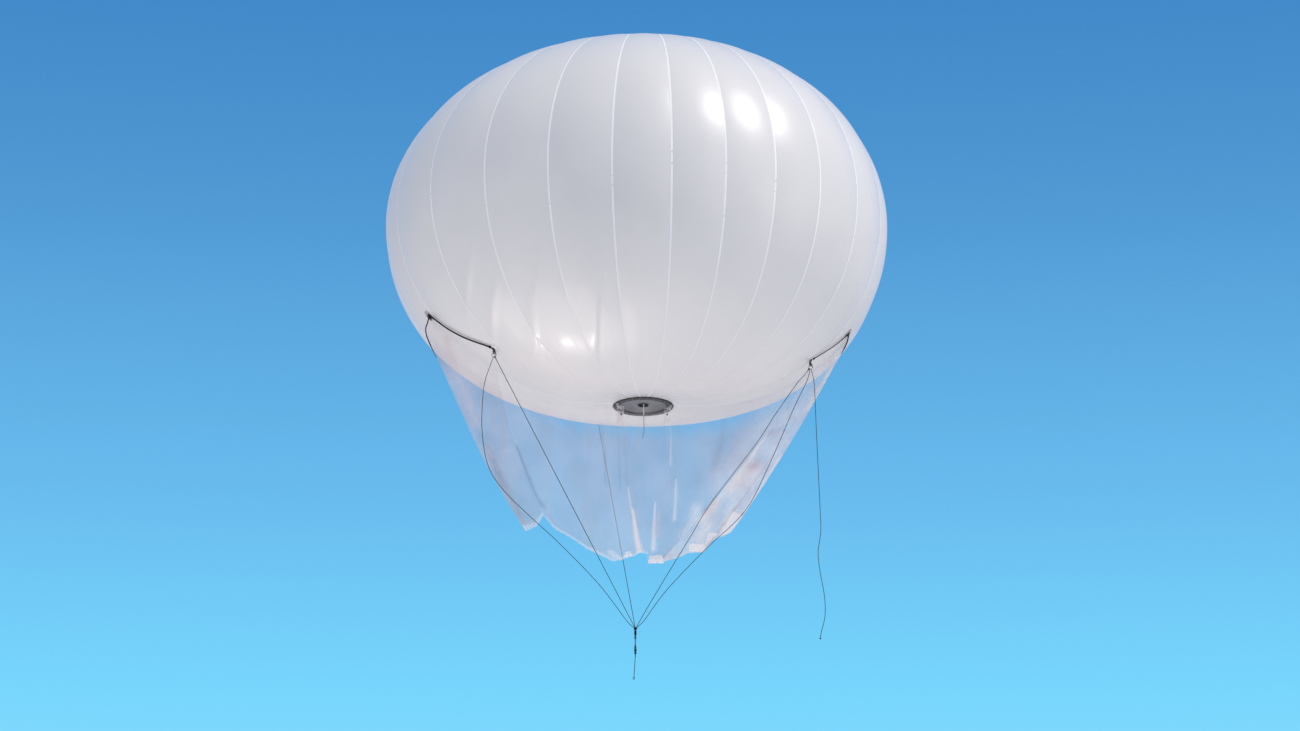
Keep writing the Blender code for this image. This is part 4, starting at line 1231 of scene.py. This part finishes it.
main_clear = clear_film("clear_sail_film", 0.065, 0.8, 0.055, 1.6)
sail_main, main_area = hang_film("sail_main_film", "sail_main", main_clear, [
    sail_panel(main_stations, main_folds, 0.3, 66, 0.0105, 0.0, 2.0),
    turned_hem([(0.048, -0.04, -3.396), (0.205, -0.05, -3.404), (0.185, -0.05, -3.318), (0.066,
        -0.04, -3.326)], 0.014, 0.7, 0.9, 1.0),
    turned_hem([(-0.19, -0.09, -3.346), (-0.109, -0.07, -3.334), (-0.119, -0.07, -3.283), (-0.168,
        -0.09, -3.296)], 0.012, 0.55, 0.9, 2.0),
])

left_stations = under_film(-71.3, left, [(-36.0, -1.214, -3.157, 0.12)])
left_stations += under_film(LEFT_SEAM, left, [
    (-39.5, -1.19, -3.145, 0.11), (-44.0, -1.165, -3.132, 0.1), (-47.9, -1.135, -3.115, 0.09),
    (-52.0, -1.103, -3.1, 0.08), (-56.4, -1.062, -3.035, 0.07), (-59.3, -1.033, -2.987, 0.06),
])
left_folds = [
    ([(-1.93, -1.3), (-1.8, -1.7), (-1.64, -2.1)], 0.04, 0.06, 0.14, 0.3, 0.008),
    ([(-1.52, -2.35), (-1.36, -2.7), (-1.15, -3.12)], 0.03, 0.045, 0.18, 0.12, 0.008),
]


def left_spread(u, v):
    """The free edge bows outward under its bolt rope."""
    return 0.098 * (v / 0.08) * exp(1 - v / 0.08) * max(0.0, 1 - u / 0.45) ** 1.5


def right_spread(u, v):
    return 0.016 * (v / 0.06) * exp(1 - v / 0.06) * max(0.0, (u - 0.5) / 0.5) ** 1.5


left_clear = clear_film("clear_side_film", 0.1, 0.8, 0.06, 1.9)
sail_left, left_area = hang_film("sail_left_film", "sail_side_left", left_clear, [
    sail_panel(left_stations, left_folds, 0.22, 66, 0.0105, 0.0, 5.0, left_spread)
])

right_stations = under_film(RIGHT_RIDGE, right, [
    (-54.3, 0.168, -3.384, 0.065), (-52.0, 0.326, -3.35, 0.065), (-47.9, 0.444, -3.3, 0.06),
    (-45.5, 0.6, -3.296, 0.058), (-43.5, 0.64, -3.205, 0.054), (-42.0, 0.735, -3.16, 0.05),
    (-40.2, 0.862, -3.106, 0.045),
])
right_stations += under_film(82.6, right, [(-38.6, 1.001, -2.92, 0.045)])
right_folds = [
    ([(1.56, -1.56), (1.444, -1.716), (1.298, -1.95), (1.053, -2.355)], 0.014, 0.022, 0.55, 1.0,
        0.016),
    ([(1.053, -2.355), (0.903, -2.557), (0.706, -2.788), (0.56, -2.98)], 0.03, 0.045, 0.35, 0.85,
        0.012),
    ([(1.98, -1.24), (1.8, -1.6), (1.64, -1.88)], 0.018, 0.028, 0.5, 1.0, 0.01),
    ([(1.35, -2.35), (1.18, -2.62), (1.0, -2.9)], 0.014, 0.02, 0.45, 0.95, 0.012),
    ([(1.101, -2.466), (1.02, -2.58)], 0.06, 0.07, 0.35, 0.3, 0.014),
    ([(0.95, -2.58), (0.88, -2.68)], 0.05, 0.06, 0.35, 0.75, -0.01),
    ([(0.676, -2.818), (0.62, -2.9)], 0.06, 0.07, 0.4, 0.45, 0.012),
    ([(1.0, -2.905), (0.881, -2.909), (0.76, -3.06)], 0.012, 0.02, 0.5, 1.0, 0.014),
    ([(0.6, -3.29), (0.54, -3.15), (0.64, -3.02)], 0.024, 0.04, 0.4, 0.9, 0.012),
    ([(0.86, -3.1), (0.8, -2.99), (0.9, -2.8)], 0.016, 0.03, 0.25, 0.8, -0.01),
]
right_clear = clear_film("glossy_side_film", 0.24, 0.85, 0.16, 3.2)
sail_right, right_area = hang_film("sail_right_film", "sail_side_right", right_clear, [
    sail_panel(right_stations, right_folds, 0.58, 70, 0.0105, 0.01, 8.0, right_spread),
    turned_hem([(0.449, -0.13, -3.299), (0.596, -0.13, -3.304), (0.616, -0.13, -3.229), (0.444,
        -0.12, -3.219)], 0.016, 0.9, 1.0, 3.0),
    turned_hem([(0.59, -0.13, -3.285), (0.64, -0.14, -3.214), (0.734, -0.14, -3.12), (0.636,
        -0.13, -3.11)], 0.014, 0.65, 0.9, 4.0),
    turned_hem([(0.733, -0.15, -3.164), (0.861, -0.15, -3.109), (0.98, -0.15, -2.95), (0.882,
        -0.14, -2.905)], 0.014, 0.45, 0.8, 5.0),
])


def bolt_rope(name, start, station, last, radius, aside):
    """The rope in the sail's free edge, from the load fitting down to where it ends in the hem."""
    top, (foot, bow, way) = sail_head(station[0]), station[1:]
    points = [start]
    for i in range(2, 15):
        v = i / 14 * last
        points.append(top.lerp(foot, v) + way * (bow * 4 * v * (1 - v) + aside(v)))
    curve = bent_curve(name, points, radius, dark_braid)
    for i, knot in enumerate(curve.data.splines[0].bezier_points):
        knot.radius = 1.0 if i < 9 else 1.0 - 0.14 * (i - 8)
    return settle(mesh_of(curve), name, dark_braid, ())


left_rope = bolt_rope(
    "left_bolt_rope", left_fitting, left_stations[0], 0.19, 0.0056, lambda v: left_spread(0, v)
)
right_rope = bolt_rope(
    "right_bolt_rope", right_fitting, right_stations[-1], 0.1, 0.0062, lambda v: right_spread(1, v)
)

# Sail tabs
# Two film tabs are tied to the plate's rim with white cord through black eyelets; the sail's
# middle hangs from them, under the CAD's two clips.

TAB_WIDTH, TAB_FOOT, TAB_HEIGHT = 0.062, -1.985, 0.156
RIM_REACH = 0.2995

tab_film = clear_film("tab_film", 0.16, 0.8, 0.06, 6.0)
for side, centre, aside, holes in (
    ("left", -0.225, -0.1, ((-0.016, -1.864), (0.012, -1.872), (0.008, -1.912))),
    ("right", 0.242, -0.04, ((0.01, -1.866), (-0.018, -1.85), (-0.004, -1.9))),
):

    def on_tab(column, row, centre=centre, aside=aside):
        u, v = column / 8 - 0.5, row / 10
        bow = 0.004 + 0.003 * cos(u * 6)
        return Vector((centre + u * TAB_WIDTH, aside - bow, TAB_FOOT + TAB_HEIGHT * v))

    tab = sheet_grid(8, 10, on_tab)
    # The tab's edges and top row are made denser and painted paler than its middle: a painted
    # highlight along its edges.
    for label, inside, edge in (("cover", 0.12, 0.45), ("tint_and_shading", 0.6, 0.9)):
        mark(tab, label, lambda i: edge if i % 9 in (0, 8) or i // 9 == 10 else inside)
    give_wall(tab, 0.0012, 0.0)
    settle(tab, f"{side}_sail_tab", tab_film, [f"clip_{side}"])
    for i, (dx, z) in enumerate(holes):
        place = Vector((centre + dx, aside - 0.009, z))
        eyelet = hoop(place, 0.0056, 0.0034, 32, 12)
        settle(eyelet, f"{side}_eyelet_{i + 1}", black_steel, ())
        if i < 2:
            out = Vector((place.x, place.y, 0.0)).normalized()
            lip = out * RIM_REACH
            lip.z = PLATE_MIDDLE - BASE_TILT * lip.y
            mid, half = (place + lip) / 2, (lip - place) / 2
            around = Vector((-out.y, out.x, 0.0)) * 0.007
            ways = [tau * step / 14 for step in range(14)]
            tie = [mid - half * cos(s) * 1.06 + around * sin(s) for s in ways]
            name = f"{side}_tie_{i + 1}"
            rod(name, tie, 0.0013, white_plastic, (), cyclic=True)

# Bridle knot and swivel
# The five lines are gathered in one knot above a small blackened swivel. Its barrel holds a
# bright pin that turns, with the eye, strap, hook and the tether's first piece below.

SWIVEL_TOP = Vector((-0.075, 0.0, -4.0583))
TETHER_TURN = radians(60.0)
EYE_HEIGHT = -0.068
STRAP_TOP, STRAP_FOOT, STRAP_HALF = -0.0795, -0.152, 0.0052
HOOK_TOP, HOOK_FOOT, HOOK_HALF = -0.1612, -0.22, 0.011
LEADER_BEND, LEADER_FOOT, LEADER_LEAN = -0.245, -0.46, 0.062

knot = tied_knot("bridle_gathering_knot", KNOT_PLACE, 0.018, 0.0066, dark_braid)
settle(knot, "bridle_gathering_knot", dark_braid, ["bridle_knot"])

swivel_black = gentle(
    "black_enamelled_steel", (0.0015, 0.002, 0.003), (0.006, 0.008, 0.011), (0.42, 0.6), 60.0,
    0.0001, 700.0,
)
shader = swivel_black.node_tree.nodes["Principled BSDF"]
shader.inputs["Specular IOR Level"].default_value = 0.2


def by_swivel(x, y, z):
    """A place on the tether end, which hangs turned on its swivel."""
    c, s = cos(TETHER_TURN), sin(TETHER_TURN)
    return SWIVEL_TOP + Vector((x * c - y * s, x * s + y * c, z))


def half_turn(z, half, start, steps):
    """Points on half a circle of this size round height z."""
    ways = [start + pi * i / steps for i in range(steps + 1)]
    return [(half * cos(t), z + half * sin(t)) for t in ways]


barrel = [
    (0.0, 0.015), (0.004, 0.0146), (0.0054, 0.0125), (0.0054, 0.0016), (0.0066, 0.0), (0.009, 0.0),
    (0.0104, -0.0016), (0.0112, -0.004), (0.0115, -0.0075), (0.0115, -0.011), (0.0115, -0.018),
    (0.0109, -0.019), (0.0115, -0.02), (0.0115, -0.038), (0.0109, -0.039), (0.0115, -0.04),
    (0.0115, -0.0455), (0.01, -0.048), (0.0046, -0.048), (0.0046, -0.04), (0.0085, -0.04),
    (0.0085, -0.018), (0.0, -0.018),
]
turned("swivel_barrel", barrel, 64, swivel_black, ["swivel_body"], "dark_steel", SWIVEL_TOP)

pin = [
    (0.0, -0.03), (0.0064, -0.03), (0.007, -0.0306), (0.007, -0.0391), (0.0064, -0.0397),
    (0.004, -0.0397), (0.004, -0.0537), (0.0, -0.0537),
]
turned(
    "swivel_turning_pin", pin, 48, swivel_black, ["swivel_pin"], "ring_steel", SWIVEL_TOP,
    body="tether_end",
)

eye = []
for i in range(24):
    c, s = cos(tau * i / 24), sin(tau * i / 24)
    square = 1.0 / max(abs(c), abs(s)) ** 0.55
    eye.append(by_swivel(0.01 * c * square, 0.0, EYE_HEIGHT + 0.0105 * s * square))
rod("swivel_lower_eye", eye, 0.0046, swivel_black, ["swivel_eye"], "tether_end", True)

strap_web = gentle(
    "violet_strap_webbing", (0.1, 0.1, 0.24), (0.2, 0.19, 0.38), (0.6, 0.8), 60.0, 0.0008, 480.0
)
loop = []
for start, z, end in ((0.0, STRAP_TOP, STRAP_FOOT), (pi, STRAP_FOOT, STRAP_TOP)):
    loop += half_turn(z, STRAP_HALF, start, 12)
    for i in range(1, 12):
        waist = 0.0022 * sin(pi * i / 12) - STRAP_HALF
        loop.append((waist * cos(start), z + (end - z) * i / 12))


def on_strap(column, row):
    y, z = loop[row % len(loop)]
    return by_swivel(-0.005 + 0.01 * column / 4, y, z)


strap = sheet_grid(4, len(loop), on_strap)
weld(strap)
give_wall(strap, 0.0018, 0.0)
settle(strap, "webbing_link", strap_web, ["link_strap"], 50.0, "tether_end")

hook = half_turn(HOOK_TOP, HOOK_HALF, 0.0, 8) + half_turn(HOOK_FOOT, HOOK_HALF, pi, 8)
hook = [by_swivel(x, 0.0, z) for x, z in hook]
rod("tether_snap_hook", hook, 0.0048, swivel_black, ["snap_hook"], "tether_end", True)
sleeve = [
    (0.0, 0.0), (0.00558, 0.0), (0.00651, -0.0006), (0.00651, -0.0174), (0.00558, -0.018),
    (0.0, -0.018),
]
turned(
    "snap_hook_gate_sleeve", sleeve, 40, swivel_black, (), "dark_steel",
    by_swivel(HOOK_HALF, 0.0, -0.18), body="tether_end",
)

leader_top = HOOK_FOOT - HOOK_HALF - 0.0033
leader = []
for i in range(21):
    z = leader_top + (LEADER_FOOT - leader_top) * i / 20
    leader.append(SWIVEL_TOP + Vector((-LEADER_LEAN * max(0.0, LEADER_BEND - z), 0.0, z)))
rod("tether_first_length", leader, 0.0032, black_braid, ["tether_leader"], body="tether_end")
place = SWIVEL_TOP + UPWARD * (HOOK_FOOT - 0.004)
tie = tied_knot("tether_hook_tie", place, 0.0108, 0.0042, dark_braid)
settle(tie, "tether_hook_tie", dark_braid, (), body="tether_end")
place = SWIVEL_TOP + Vector((-0.0138, 0.0, -0.468))
loop = oval(place, ACROSS, UPWARD, 0.008, 0.011)
rod("tether_end_loop", loop, 0.003, black_braid, body="tether_end", cyclic=True)
whipping("tether_hook_whipping", SWIVEL_TOP + UPWARD * leader_top, -UPWARD, "tether_end")
